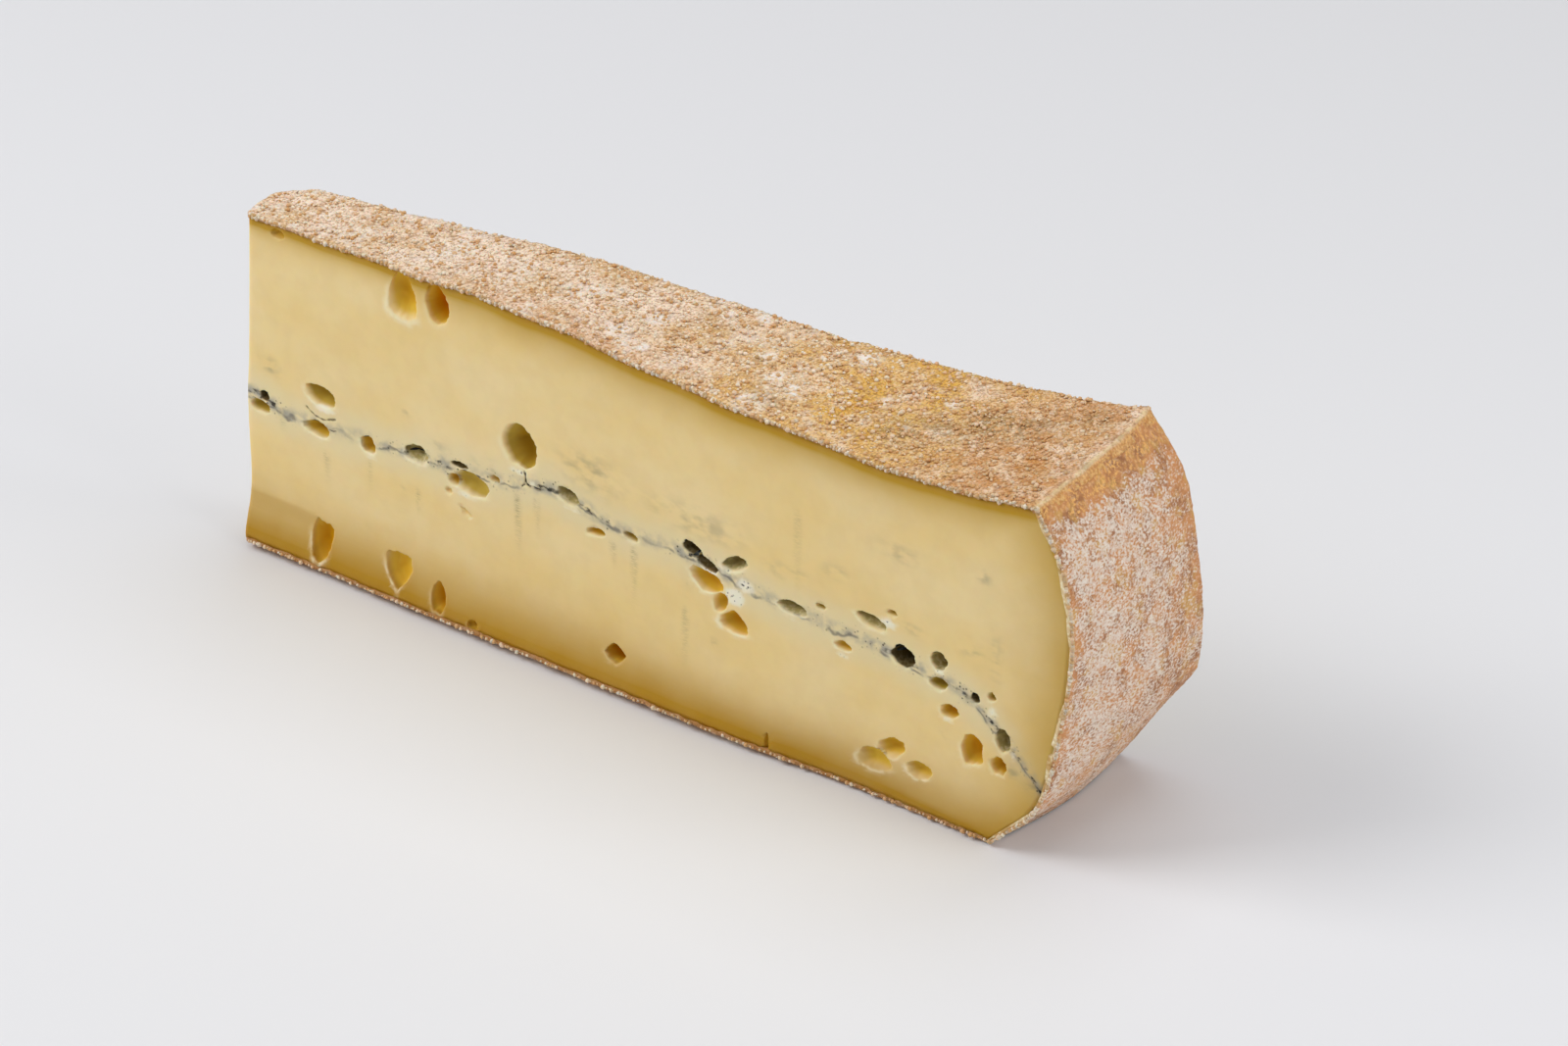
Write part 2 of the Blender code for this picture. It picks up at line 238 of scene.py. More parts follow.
@dataclass(frozen=True)
class SliceForm:
    """The outer form of the slice, which every piece is laid on."""

    height: float = 67.8
    tip_width: float = 12.7
    taper: float = 0.15
    base_length: float = 168.5
    heel_front: Stations = (
        (0.0, 160.2), (4.7, 164.9), (8.3, 168.4), (14.0, 171.4), (21.0, 173.2), (28.0, 174.4),
        (36.0, 175.6), (45.4, 176.1), (52.6, 175.2), (57.2, 174.1), (62.2, 171.6), (67.8, 168.2),
    )
    heel_back: Stations = (
        (0.0, 161.3), (4.3, 164.3), (11.6, 168.9), (20.4, 174.6), (24.0, 175.4), (29.0, 175.7),
        (36.0, 175.3), (43.0, 174.3), (50.6, 173.2), (55.6, 172.1), (60.8, 169.9), (67.8, 164.8),
    )
    heel_bow: Stations = ((0.0, 2.3), (14.0, 1.4), (34.0, 0.9), (68.0, 0.7))
    tip_line: Stations = (
        (0.0, -4.4), (2.2, -5.2), (5.0, -5.2), (9.0, -4.8), (14.0, -4.6), (22.0, -4.7), (31.0, -4.6),
        (38.0, -3.9), (50.0, -3.1), (68.0, -2.0),
    )
    tip_bow: float = 1.3
    tip_corner: float = 4.0
    tip_corner_from: float = 0.6
    foot_flare: float = 2.4
    foot_height: float = 17.0
    foot_fades: tuple = (95.0, 135.0)
    top_line: Stations = (
        (-9.0, 67.5), (31.0, 67.8), (60.0, 68.1), (92.0, 66.0), (130.0, 64.6), (152.0, 65.5), (170.0, 67.8),
    )
    top_climb: float = 0.034
    edge_lift: float = 0.9
    edge_lift_width: float = 4.0
    edge_lift_ends: tuple = (122.0, 152.0)
    ash_line: Stations = (
        (-9.0, 31.8), (0.0, 30.6), (6.0, 29.6), (24.0, 30.5), (43.0, 31.9), (54.0, 32.8), (67.0, 35.4),
        (80.0, 32.8), (94.0, 33.1), (103.0, 32.2), (111.0, 30.9), (127.0, 30.1), (136.0, 29.6),
        (145.0, 28.7), (153.0, 27.6), (158.0, 25.4), (162.0, 22.6), (166.0, 19.0), (170.0, 15.0),
        (176.0, 11.5),
    )
    ash_roll: float = 1.1
    ash_roll_size: float = 16.0
    knife_wobble: float = 0.25
    wobble_size: float = 25.0
    rind_lumps: float = 0.45
    lump_size: float = 11.0

    def __post_init__(self) -> None:
        """Fills the tables of broad lumps."""
        tables = {
            "top_lumps": LumpTable(lambda a, b: (a, b, self.height), self.lump_size, (-6.0, 48.0)),
            "roll_lumps": LumpTable(lambda a, b: (a, b, 0.0), self.ash_roll_size, (-6.0, 48.0)),
            "front_lumps": LumpTable(lambda a, b: (a, 0.0, b), self.wobble_size, (-3.0, 73.0)),
            "back_lumps": LumpTable(lambda a, b: (a, self.height, b), self.wobble_size, (-3.0, 73.0)),
        }
        for name, table in tables.items():
            object.__setattr__(self, name, table)

    def top(self, x: Points, y: Points) -> Points:
        """Height of the upper rind, which climbs a little towards the back."""
        return along_line(self.top_line, x) + self.top_climb * y + self.rind_lumps * self.top_lumps.at(x, y)

    def base(self, x: Points, y: Points) -> Points:
        """Height of the base, lifted a little along the front edge."""
        lift = self.edge_lift * (1.0 - passed(x, self.edge_lift_ends))
        return lift * np.maximum(0.0, 1.0 - (y + self.foot_flare) / self.edge_lift_width) ** 2

    def ash(self, x: Points, y: Points) -> Points:
        """Height of the middle of the ash seam."""
        roll = self.roll_lumps.at(x, y) - self.roll_lumps.at(x, np.zeros_like(x))
        return along_line(self.ash_line, x) + self.ash_roll * roll

    def heel(self, z: Points, across: Points) -> Points:
        """Where the heel's rind is, at a height and a share of the way across."""
        bow = along_line(self.heel_bow, z) * np.sin(np.pi * np.clip(across, 0.0, 1.0))
        return mix(along_line(self.heel_front, z), along_line(self.heel_back, z), across) + bow

    def tip(self, z: Points, across: Points) -> Points:
        """Where the blunt tip is."""
        share = np.maximum(0.0, (across - self.tip_corner_from) / (1.0 - self.tip_corner_from))
        bow = self.tip_bow * np.sin(np.pi * np.clip(across, 0.0, 1.0))
        return along_line(self.tip_line, z) - bow + self.tip_corner * share**2

    def foot(self, x: Points, z: Points) -> Points:
        """How far the foot of a cut face has spread."""
        near = np.maximum(0.0, 1.0 - z / self.foot_height) ** 2
        return self.foot_flare * (1.0 - passed(x, self.foot_fades)) * near

    def front(self, x: Points, z: Points) -> Points:
        """The front cut."""
        return self.knife_wobble * self.front_lumps.at(x, z) - self.foot(x, z)

    def back(self, x: Points, z: Points) -> Points:
        """The back cut, which widens towards the heel."""
        wide = self.tip_width + self.taper * x + self.knife_wobble * self.back_lumps.at(x, z)
        return wide + self.foot(x, z)

    def place(self, shares: Points, skin: float = 0.0) -> Points:
        """The points of the slice at shares along, across and up.

        Args:
            shares: Three shares of 0 to 1 for each point.
            skin: How far to stay inside the rind at the top, the heel and the base.

        Returns:
            The points, in millimetres.
        """
        along, across, up = np.asarray(shares, dtype=float).T
        x, y, z = self.base_length * along, np.zeros_like(along), np.zeros_like(along)
        for _ in range(SETTLING_ROUNDS):
            z = mix(self.base(x, y) + skin, self.top(x, y) - skin, up)
            y = mix(self.front(x, z), self.back(x, z), across)
            x = mix(self.tip(z, across), self.heel(z, across) - skin, along)
        return points_of(x, y, z)


# Gas eyes ----------------------------------------------------------------------------------


class Wall(Enum):
    """What an eye is lined with, from bare amber paste to caked ash."""

    AMBER = 0.0
    OLIVE = 0.45
    ASHEN = 0.75
    BLACK = 1.0


@dataclass(frozen=True)
class Eye:
    """One gas eye where a cut opens it.

    Its lean is in degrees and positive where the end towards the heel is lower. A positive
    flare makes it wider below than above. Its slack is how gently it slopes in from the side
    that its slack way points to, in degrees up from the heel's side. A roundness of two is an
    oval, and towards one it is a diamond.
    """

    x: float
    z: float
    width: float
    tall: float
    depth: float
    lean: float = 0.0
    flare: float = 0.0
    wall: Wall = Wall.AMBER
    # How much the lower lip is raised and lit with a painted highlight.
    lip: float = 0.5
    slack: float = 0.55
    slack_way: float = 205.0
    roundness: float = 2.0


FRONT_EYES = (
    Eye(4.4, 65.4, 3.2, 2.0, 1.4, 0, 0.2, Wall.AMBER, 0.1),
    Eye(33.4, 62.4, 6.0, 9.2, 2.4, 2, 0.32, Wall.AMBER, 0.9, 0.6, 245.0),
    Eye(41.1, 63.2, 5.2, 7.6, 5.0, 0, 0.0, Wall.AMBER, 0.3),
    Eye(13.1, 35.8, 7.2, 3.9, 2.8, 8, 0.0, Wall.OLIVE, 1.0, 0.8, 230.0),
    Eye(11.9, 28.9, 6.4, 2.9, 2.6, 0, 0.1, Wall.AMBER, 0.7),
    Eye(-0.6, 31.3, 2.3, 2.1, 2.2, 0, 0.0, Wall.BLACK, 0.2),
    Eye(-1.7, 28.9, 5.0, 2.5, 2.4, 0, 0.0, Wall.OLIVE, 0.4),
    Eye(23.9, 29.7, 3.9, 3.6, 2.6, 28, 0.1, Wall.AMBER, 0.9, 0.2, 205.0, 1.45),
    Eye(35.4, 31.7, 5.4, 3.6, 2.2, -6, 0.1, Wall.ASHEN, 1.0, 0.8, 270.0),
    Eye(45.3, 32.9, 4.0, 1.3, 1.6, 0, 0.0, Wall.BLACK, 0.1),
    Eye(47.8, 30.2, 8.0, 4.6, 1.8, 4, 0.1, Wall.OLIVE, 0.8),
    Eye(44.0, 29.6, 3.0, 2.3, 2.6, 0, 0.0, Wall.AMBER, 0.2),
    Eye(42.6, 26.9, 1.7, 1.3, 0.7, 0, 0.0, Wall.AMBER, 0.4),
    Eye(46.6, 23.9, 3.4, 0.7, 0.8, 24, 0.0, Wall.AMBER, 0.6),
    Eye(53.4, 32.9, 2.4, 1.5, 1.6, 0, 0.0, Wall.AMBER, 0.3),
    Eye(59.3, 41.4, 7.6, 8.2, 4.6, 0, -0.05, Wall.OLIVE, 0.5, 0.75, 185.0),
    Eye(70.0, 35.2, 5.2, 3.0, 2.2, 15, 0.0, Wall.ASHEN, 0.7, 0.8, 240.0),
    Eye(76.0, 30.2, 4.4, 1.6, 2.4, -8, 0.0, Wall.AMBER, 0.5),
    Eye(83.7, 32.0, 3.4, 1.5, 2.0, 6, 0.0, Wall.OLIVE, 0.5),
    Eye(12.6, 6.4, 4.8, 8.4, 2.8, 4, -0.28, Wall.AMBER, 0.9, 0.4, 180.0, 2.6),
    Eye(30.9, 6.9, 5.6, 7.4, 2.0, 0, -0.62, Wall.AMBER, 0.8),
    Eye(40.5, 4.8, 3.3, 5.9, 3.4, -4, 0.0, Wall.AMBER, 0.4),
    Eye(48.7, 2.3, 2.3, 1.8, 1.6, 0, 0.0, Wall.AMBER, 0.2),
    Eye(80.4, 7.7, 4.9, 3.9, 5.2, -6, 0.0, Wall.AMBER, 0.3, 0.1, 205.0, 1.2),
    Eye(97.2, 34.4, 4.6, 2.4, 4.2, 14, 0.0, Wall.BLACK, 0.3),
    Eye(100.4, 32.6, 5.2, 2.2, 3.6, 22, 0.0, Wall.BLACK, 0.8),
    Eye(106.4, 34.6, 6.0, 2.9, 2.6, -30, 0.1, Wall.ASHEN, 1.0, 0.9, 270.0),
    Eye(100.2, 29.1, 7.6, 4.2, 2.4, 12, -0.42, Wall.AMBER, 1.0, 0.6, 205.0, 1.7),
    Eye(103.3, 26.1, 3.0, 4.2, 2.0, 26, 0.0, Wall.AMBER, 0.5),
    Eye(106.2, 23.2, 6.2, 4.6, 2.8, 8, 0.50, Wall.AMBER, 1.0, 0.5, 205.0, 1.7),
    Eye(118.8, 30.6, 6.2, 2.6, 2.4, 0, 0.0, Wall.ASHEN, 0.8, 0.7, 250.0),
    Eye(124.7, 33.1, 2.2, 1.2, 1.4, 0, 0.0, Wall.OLIVE, 0.3),
    Eye(129.4, 27.0, 3.7, 1.8, 1.8, 0, 0.0, Wall.AMBER, 1.0),
    Eye(135.3, 34.0, 6.4, 2.6, 2.2, 10, 0.0, Wall.ASHEN, 0.9, 0.9, 250.0),
    Eye(139.5, 37.1, 2.2, 1.2, 1.2, 0, 0.0, Wall.OLIVE, 0.3),
    Eye(141.9, 29.6, 4.7, 4.3, 5.4, 0, 0.0, Wall.BLACK, 0.5),
    Eye(149.3, 31.5, 3.7, 3.8, 4.0, 0, 0.0, Wall.ASHEN, 0.4, 0.5, 190.0, 1.6),
    Eye(149.3, 27.2, 3.8, 2.2, 2.8, -10, 0.0, Wall.OLIVE, 0.8),
    Eye(156.9, 27.2, 1.9, 1.9, 2.2, 0, 0.0, Wall.BLACK, 0.3),
    Eye(160.2, 28.6, 1.7, 1.7, 1.6, 0, 0.0, Wall.OLIVE, 0.8),
    Eye(151.6, 22.6, 3.9, 2.6, 2.8, -15, 0.0, Wall.AMBER, 0.8),
    Eye(156.5, 16.9, 4.2, 5.6, 2.9, 0, 0.0, Wall.AMBER, 0.6, 0.3, 205.0, 2.4),
    Eye(162.7, 21.1, 3.0, 4.3, 3.6, 0, 0.0, Wall.ASHEN, 0.5),
    Eye(162.0, 15.9, 3.3, 3.2, 3.0, 0, 0.0, Wall.AMBER, 0.6),
    Eye(139.6, 10.8, 6.6, 3.6, 2.0, -30, 0.0, Wall.AMBER, 0.6, 0.9, 235.0),
    Eye(136.2, 7.4, 7.0, 4.2, 1.4, -10, 0.1, Wall.AMBER, 0.7, 0.9, 235.0),
    Eye(145.6, 8.7, 5.4, 3.2, 1.6, -10, 0.0, Wall.AMBER, 1.0, 0.9, 235.0),
    Eye(113.9, 2.2, 0.9, 4.4, 1.2, 0, 0.0, Wall.AMBER, 0.1),
)


@dataclass(frozen=True)
class BackEyes:
    """The rule that draws the back cut's eyes: two of three open along the ash."""

    count: int = 14
    seed: int = 11
    span: tuple = (10.0, 158.0)
    from_ash: tuple = (-4.0, 3.0)
    low: tuple = (8.0, 17.0)
    width: tuple = (3.4, 7.4)
    tall: tuple = (2.8, 6.0)
    depth: tuple = (2.4, 4.4)
    lean: tuple = (-30.0, 30.0)
    belly: float = 30.0
    shrink: float = 0.85
    # How much the lower lips are raised and lit with a painted highlight.
    lip: float = 0.7

    def draw(self, form: SliceForm) -> tuple[Eye, ...]:
        """Draws the eyes.

        Args:
            form: The slice that they open in.

        Returns:
            The eyes, from the tip to the heel.
        """
        chance, eyes = random.Random(self.seed), []
        for number in range(self.count):
            x = mix(*self.span, (number + chance.uniform(0.2, 0.8)) / self.count)
            at_ash = number % 3 != 2
            if at_ash:
                at = np.array([x])
                z = float(form.ash(at, form.back(at, np.array([self.belly])))[0])
                z += chance.uniform(*self.from_ash)
            else:
                z = chance.uniform(*self.low)
            depth = chance.uniform(*self.depth)
            tall, width = chance.uniform(*self.tall), chance.uniform(*self.width)
            lean = chance.uniform(*self.lean)
            wall = (Wall.ASHEN, Wall.BLACK, Wall.AMBER)[number % 3]
            eyes.append(
                Eye(x, z, width * self.shrink, tall * self.shrink, depth, lean, wall=wall, lip=self.lip)
            )
        return tuple(eyes)


class EyeField:
    """All the eyes of one cut, which pit its points and say how each is lined."""

    UNDERCUT = math.radians(106.0)
    # The side, lower left, whose lip is raised and carries a painted highlight.
    LIP_WAY = math.radians(245.0)
    REACH = 1.7
    NO_EYE = 9.0
    MIDDLE = 1e-4
    WIDEST = 1.15
    MOUND, MOUND_AT, MOUND_WIDTH = 0.08, 1.16, 0.12

    def __init__(self, eyes: Sequence[Eye], seed: int) -> None:
        """Keeps the eyes, and a seed for their uneven outlines."""
        self.eyes, self.seed = eyes, seed

    def open(self, x: Points, z: Points) -> dict[str, Points]:
        """Opens the eyes in a flat cut.

        Args:
            x: Where the points are along the cut.
            z: Their heights.

        Returns:
            The points' new x and z, how deep they sink, and for each how far in or out of
            its nearest eye it is, how high up in it, how that eye is lined and how much its
            lip is raised.
        """
        found = {name: np.zeros_like(x) for name in ("sink", "wall", "lip", "bowl", "rise")}
        found |= {"x": x.copy(), "z": z.copy(), "near": np.full_like(x, self.NO_EYE)}
        for number, eye in enumerate(self.eyes):
            self._open_one(number, eye, x, z, found)
        return found

    def _open_one(self, number: int, eye: Eye, x: Points, z: Points, found: dict[str, Points]) -> None:
        """Opens one eye, where no other eye is nearer."""
        reach = self.REACH * max(eye.width, eye.tall)
        close = np.flatnonzero((np.abs(x - eye.x) < reach) & (np.abs(z - eye.z) < reach))
        if not len(close):
            return
        turn = math.radians(-eye.lean)
        dx, dz = x[close] - eye.x, z[close] - eye.z
        along = dx * math.cos(turn) + dz * math.sin(turn)
        up = -dx * math.sin(turn) + dz * math.cos(turn)
        v = up / (0.5 * eye.tall)
        widen = 1.0 - eye.flare * np.clip(v, -1.2, 1.2)
        u = along / (0.5 * eye.width * widen)
        angle = np.arctan2(v, u)
        ring = points_of(np.cos(angle) * 1.6, np.sin(angle) * 1.6, number * 7.7)
        uneven = 1.0 + 0.15 * lumps(ring, 1.0, self.seed) + 0.05 * lumps(ring * 2.7, 1.0, self.seed)
        r = (np.abs(u) ** eye.roundness + np.abs(v) ** eye.roundness) ** (1.0 / eye.roundness)
        r = r / mix(1.0, uneven, passed(r, (0.3, 1.0)))
        nearer = r < found["near"][close]
        close, r, u, v = close[nearer], r[nearer], u[nearer], v[nearer]
        widen, angle = widen[nearer], angle[nearer] + turn
        found["near"][close] = r
        found["wall"][close] = eye.wall.value
        found["rise"][close] = np.clip(v, -1.0, 1.0)
        # The lip share raises a low mound and lays a painted highlight on the lower-left rim.
        found["lip"][close] = eye.lip * passed(np.cos(angle - self.LIP_WAY), (-0.3, 0.75))
        inside = r < 1.0
        swing = np.clip(r, 0.0, 1.0) * self.UNDERCUT
        off_middle = np.maximum(r, self.MIDDLE)
        spread = np.where(r > self.MIDDLE, np.sin(swing) / (math.sin(self.UNDERCUT) * off_middle), 1.0)
        spread = np.where(inside, np.minimum(spread, self.WIDEST / off_middle), 1.0)
        steep = (np.cos(swing) - math.cos(self.UNDERCUT)) / (1.0 - math.cos(self.UNDERCUT))
        gentle = 0.5 + 0.5 * np.cos(np.pi * np.clip(r, 0.0, 1.0))
        slack = eye.slack * passed(np.cos(angle - math.radians(eye.slack_way)), (-0.25, 0.7))
        floor, spread = mix(steep, gentle, slack), mix(spread, 1.0, slack)
        u, v = u * spread, v * spread
        along, up = u * 0.5 * eye.width * widen, v * 0.5 * eye.tall
        found["x"][close] = eye.x + along * math.cos(turn) - up * math.sin(turn)
        found["z"][close] = eye.z + along * math.sin(turn) + up * math.cos(turn)
        found["bowl"][close] = np.where(inside, floor * eye.depth, 0.0)
        mound = self.MOUND * found["lip"][close] * fading(r - self.MOUND_AT, self.MOUND_WIDTH)
        found["sink"][close] = np.where(inside, floor * eye.depth, -mound)


# Making meshes -----------------------------------------------------------------------------


def deselect_all() -> None:
    """Leaves edit mode and deselects everything."""
    if bpy.context.object and bpy.context.object.mode != "OBJECT":
        bpy.ops.object.mode_set(mode="OBJECT")
    bpy.ops.object.select_all(action="DESELECT")


def edit(piece: Piece) -> None:
    """Picks one piece out and enters edit mode."""
    deselect_all()
    bpy.context.view_layer.objects.active = piece
    piece.select_set(True)
    bpy.ops.object.mode_set(mode="EDIT")


def share_cube(name: str) -> Piece:
    """A cube whose coordinates are shares of 0 to 1, ready to be divided and placed."""
    deselect_all()
    bpy.ops.mesh.primitive_cube_add(size=1.0, location=(0.5, 0.5, 0.5))
    cube = bpy.context.object
    cube.name = cube.data.name = name
    bpy.ops.object.transform_apply(location=True, rotation=True, scale=True)
    return cube


def divide(axis: int, cuts: int) -> None:
    """Cuts every edge that runs along an axis, in edit mode."""
    bpy.ops.mesh.select_mode(type="EDGE")
    bpy.ops.mesh.select_all(action="DESELECT")
    mesh = bmesh.from_edit_mesh(bpy.context.object.data)
    for edge in mesh.edges:
        run = edge.verts[1].co - edge.verts[0].co
        if abs(run[axis]) > 0.9 * run.length:
            edge.select = True
    bmesh.update_edit_mesh(bpy.context.object.data)
    bpy.ops.mesh.subdivide(number_cuts=cuts)


def divided_cube(name: str, cuts: Sequence[Sequence[int]]) -> Piece:
    """A share cube cut into a grid.

    Args:
        name: The piece's name.
        cuts: For each axis, how many cuts each pass makes.

    Returns:
        The cube, in object mode.
    """
    cube = share_cube(name)
    edit(cube)
    for axis, passes in enumerate(cuts):
        for count in passes:
            divide(axis, count)
    bpy.ops.object.mode_set(mode="OBJECT")
    return cube


def triples(items: bpy.types.bpy_prop_collection, name: str) -> Points:
    """Three numbers of that name for every vertex or face."""
    flat = np.empty(len(items) * 3)
    items.foreach_get(name, flat)
    return flat.reshape(-1, 3)


def corners(piece: Piece) -> Points:
    """The places of a mesh's vertices."""
    return triples(piece.data.vertices, "co")


def face_middles(piece: Piece) -> Points:
    """The middles of a mesh's faces."""
    return triples(piece.data.polygons, "center")


def refine(piece: Piece, chosen: Points, cuts: int = 1) -> None:
    """Cuts the chosen faces of a piece finer.

    Args:
        piece: The piece, in object mode.
        chosen: For each face, whether it is cut.
        cuts: How many cuts go across each face.
    """
    edit(piece)
    bpy.ops.mesh.select_mode(type="FACE")
    bpy.ops.mesh.select_all(action="DESELECT")
    mesh = bmesh.from_edit_mesh(piece.data)
    mesh.faces.ensure_lookup_table()
    for index in np.flatnonzero(chosen):
        mesh.faces[index].select = True
    bmesh.update_edit_mesh(piece.data)
    bpy.ops.mesh.subdivide(number_cuts=cuts)
    bpy.ops.object.mode_set(mode="OBJECT")


def put(piece: Piece, points: Points) -> None:
    """Moves a mesh's vertices to points in millimetres of the slice's frame."""
    placed = (points - np.array(ORIGIN)) * MM
    piece.data.vertices.foreach_set("co", placed.astype(np.float32).ravel())
    piece.data.update()


def give(piece: Piece, **values: Points) -> None:
    """Gives a mesh a named number for each vertex."""
    for name, numbers in values.items():
        attribute = piece.data.attributes.new(name, "FLOAT", "POINT")
        attribute.data.foreach_set("value", np.asarray(numbers, dtype=np.float32))


def finish_piece(piece: Piece, material: Material) -> Piece:
    """Turns faces outwards, smooths and dresses a piece, and hangs it on the body.

    Args:
        piece: The piece, in object mode.
        material: Its finish.

    Returns:
        The piece.
    """
    edit(piece)
    bpy.ops.mesh.select_all(action="SELECT")
    bpy.ops.mesh.normals_make_consistent(inside=False)
    bpy.ops.object.mode_set(mode="OBJECT")
    bpy.ops.object.shade_smooth()
    piece.data.materials.clear()
    piece.data.materials.append(material)
    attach(piece, "root")
    piece.data.calc_loop_triangles()
    log.info("%s: %d triangles", piece.name, len(piece.data.loop_triangles))
    return piece


def scattered(name: str, middles: Points, sizes: Points, tones: Points, seed: int) -> Piece:
    """Many small lumpy grains in one mesh.

    Args:
        name: The piece's name.
        middles: Where the grains are.
        sizes: Their three sizes each.
        tones: Their chance numbers, kept as an attribute.
        seed: What turns each grain its own way.

    Returns:
        The piece.
    """
    deselect_all()
    bpy.ops.mesh.primitive_ico_sphere_add(subdivisions=1, radius=0.5)
    grain = bpy.context.object
    round_grain = corners(grain)
    faces = np.array([face.vertices[:] for face in grain.data.polygons])
    bpy.data.objects.remove(grain, do_unlink=True)

    chance = np.random.default_rng(seed)
    count, points = len(middles), len(round_grain)
    turns = np.linalg.qr(chance.normal(size=(count, 3, 3)))[0]
    turns[np.linalg.det(turns) < 0.0, :, 0] *= -1.0
    uneven = 1.0 + chance.uniform(-0.16, 0.16, size=(count, points, 1))
    shaped = np.einsum("nij,npj->npi", turns, round_grain[None] * uneven) * sizes[:, None, :]
    vertices = (shaped + middles[:, None, :]).reshape(-1, 3)
    all_faces = (faces[None] + (np.arange(count) * points)[:, None, None]).reshape(-1, 3)
    mesh = bpy.data.meshes.new(name)
    mesh.from_pydata(np.zeros((len(vertices), 3)).tolist(), [], all_faces.tolist())
    piece = bpy.data.objects.new(name, mesh)
    bpy.context.scene.collection.objects.link(piece)
    put(piece, vertices)
    give(piece, tone=np.repeat(tones, points))
    return piece


# Finishes ----------------------------------------------------------------------------------

Colour = tuple[float, float, float]
EVEN = (1.0, 1.0, 1.0)


class Recipe:
    """A Principled material and the nodes that dress it."""

    def __init__(self, name: str) -> None:
        """Starts the material with its coordinates."""
        self.material = bpy.data.materials.new(name)
        self.material.use_nodes = True
        self.tree = self.material.node_tree
        self.shader = self.tree.nodes["Principled BSDF"]
        self.place = self.node("ShaderNodeTexCoord").outputs["Object"]

    def node(self, kind: str, **settings) -> bpy.types.Node:
        """Adds a node with its settings."""
        made = self.tree.nodes.new(kind)
        for name, value in settings.items():
            setattr(made, name, value)
        return made

    def feed(self, socket: bpy.types.NodeSocket, value) -> None:
        """Links a socket to another, or sets its value."""
        if isinstance(value, bpy.types.NodeSocket):
            self.tree.links.new(value, socket)
        elif isinstance(value, tuple) and len(value) == 3 and socket.type == "RGBA":
            socket.default_value = (*value, 1.0)
        else:
            socket.default_value = value

    def scaled(self, size: float, stretch: tuple = EVEN, shift: float = 0.0):
        """Coordinates in which one unit is that many millimetres, stretched along the axes."""
        mapping = self.node("ShaderNodeMapping")
        self.feed(mapping.inputs["Vector"], self.place)
        mapping.inputs["Scale"].default_value = tuple(1000.0 / (size * part) for part in stretch)
        mapping.inputs["Location"].default_value = (shift, shift * 1.7, shift * 0.6)
        return mapping.outputs["Vector"]

    def cloud(self, size: float, detail: float = 2.0, stretch: tuple = EVEN, shift: float = 0.0):
        """Smooth noise of 0 to 1 with lumps of that many millimetres."""
        made = self.node("ShaderNodeTexNoise")
        self.feed(made.inputs["Vector"], self.scaled(size, stretch, shift))
        made.inputs["Scale"].default_value = 1.0
        made.inputs["Detail"].default_value = detail
        return made.outputs[0]

    def clouded(
        self, size: float, detail: float, low: float, high: float, start: float = 0.0, end: float = 1.0,
        stretch: tuple = EVEN, shift: float = 0.0,
    ):
        """A soft step from start to end as a cloud goes from low to high."""
        return self.step(self.cloud(size, detail, stretch, shift), low, high, start, end)

    def wobble(self, size: float, depth: float, shift: float = 0.0):
        """Smooth noise about nothing, from about minus to plus half the depth."""
        return self.sum("MULTIPLY", self.sum("SUBTRACT", self.cloud(size, 3.0, shift=shift), 0.5), depth)

    def cells(self, size: float, shift: float = 0.0):
        """The distance to the nearest middle of packed cells of that many millimetres."""
        made = self.node("ShaderNodeTexVoronoi")
        self.feed(made.inputs["Vector"], self.scaled(size, shift=shift))
        made.inputs["Scale"].default_value = 1.0
        return made.outputs["Distance"]

    def named(self, name: str):
        """A number that the mesh carries."""
        return self.node("ShaderNodeAttribute", attribute_name=name).outputs["Fac"]

    def many(self, *names: str) -> list:
        """Several numbers that the mesh carries."""
        return [self.named(name) for name in names]

    def sum(self, operation: str, first, second=0.0, third=0.0):
        """One sum on numbers."""
        made = self.node("ShaderNodeMath", operation=operation)
        for socket, value in zip(made.inputs, (first, second, third)):
            self.feed(socket, value)
        return made.outputs[0]

    def add(self, first, second):
        """Two numbers added up."""
        return self.sum("ADD", first, second)

    def times(self, *values):
        """The product of numbers."""
        total = values[0]
        for value in values[1:]:
            total = self.sum("MULTIPLY", total, value)
        return total

    def step(self, value, low: float, high: float, start: float = 0.0, end: float = 1.0):
        """A soft step from start to end as a number goes from low to high."""
        made = self.node("ShaderNodeMapRange", interpolation_type="SMOOTHSTEP")
        parts = {"Value": value, "From Min": low, "From Max": high, "To Min": start, "To Max": end}
        for name, part in parts.items():
            self.feed(made.inputs[name], part)
        return made.outputs["Result"]

    def blend(self, share, first, second):
        """A colour that lies a share of the way from first to second."""
        made = self.node("ShaderNodeMix", data_type="RGBA")
        self.feed(made.inputs["Factor"], share)
        self.feed(made.inputs[6], first)
        self.feed(made.inputs[7], second)
        return made.outputs[2]

    def coats(self, colour, *layers: tuple):
        """A colour under layers laid on in turn, each a share and a paint."""
        for share, paint in layers:
            colour = self.blend(share, colour, paint)
        return colour

    def bump(self, height, depth: float, strength: float = 1.0, onto=None):
        """Relief of that many millimetres for a height of 0 to 1."""
        made = self.node("ShaderNodeBump")
        made.inputs["Strength"].default_value = strength
        made.inputs["Distance"].default_value = depth * MM
        self.feed(made.inputs["Height"], height)
        if onto is not None:
            self.feed(made.inputs["Normal"], onto)
        return made.outputs["Normal"]

    def dress(self, **sockets) -> Material:
        """Feeds the shader's sockets, whose names are written with underlines."""
        for name, value in sockets.items():
            self.feed(self.shader.inputs[name.replace("_", " ")], value)
        return self.material


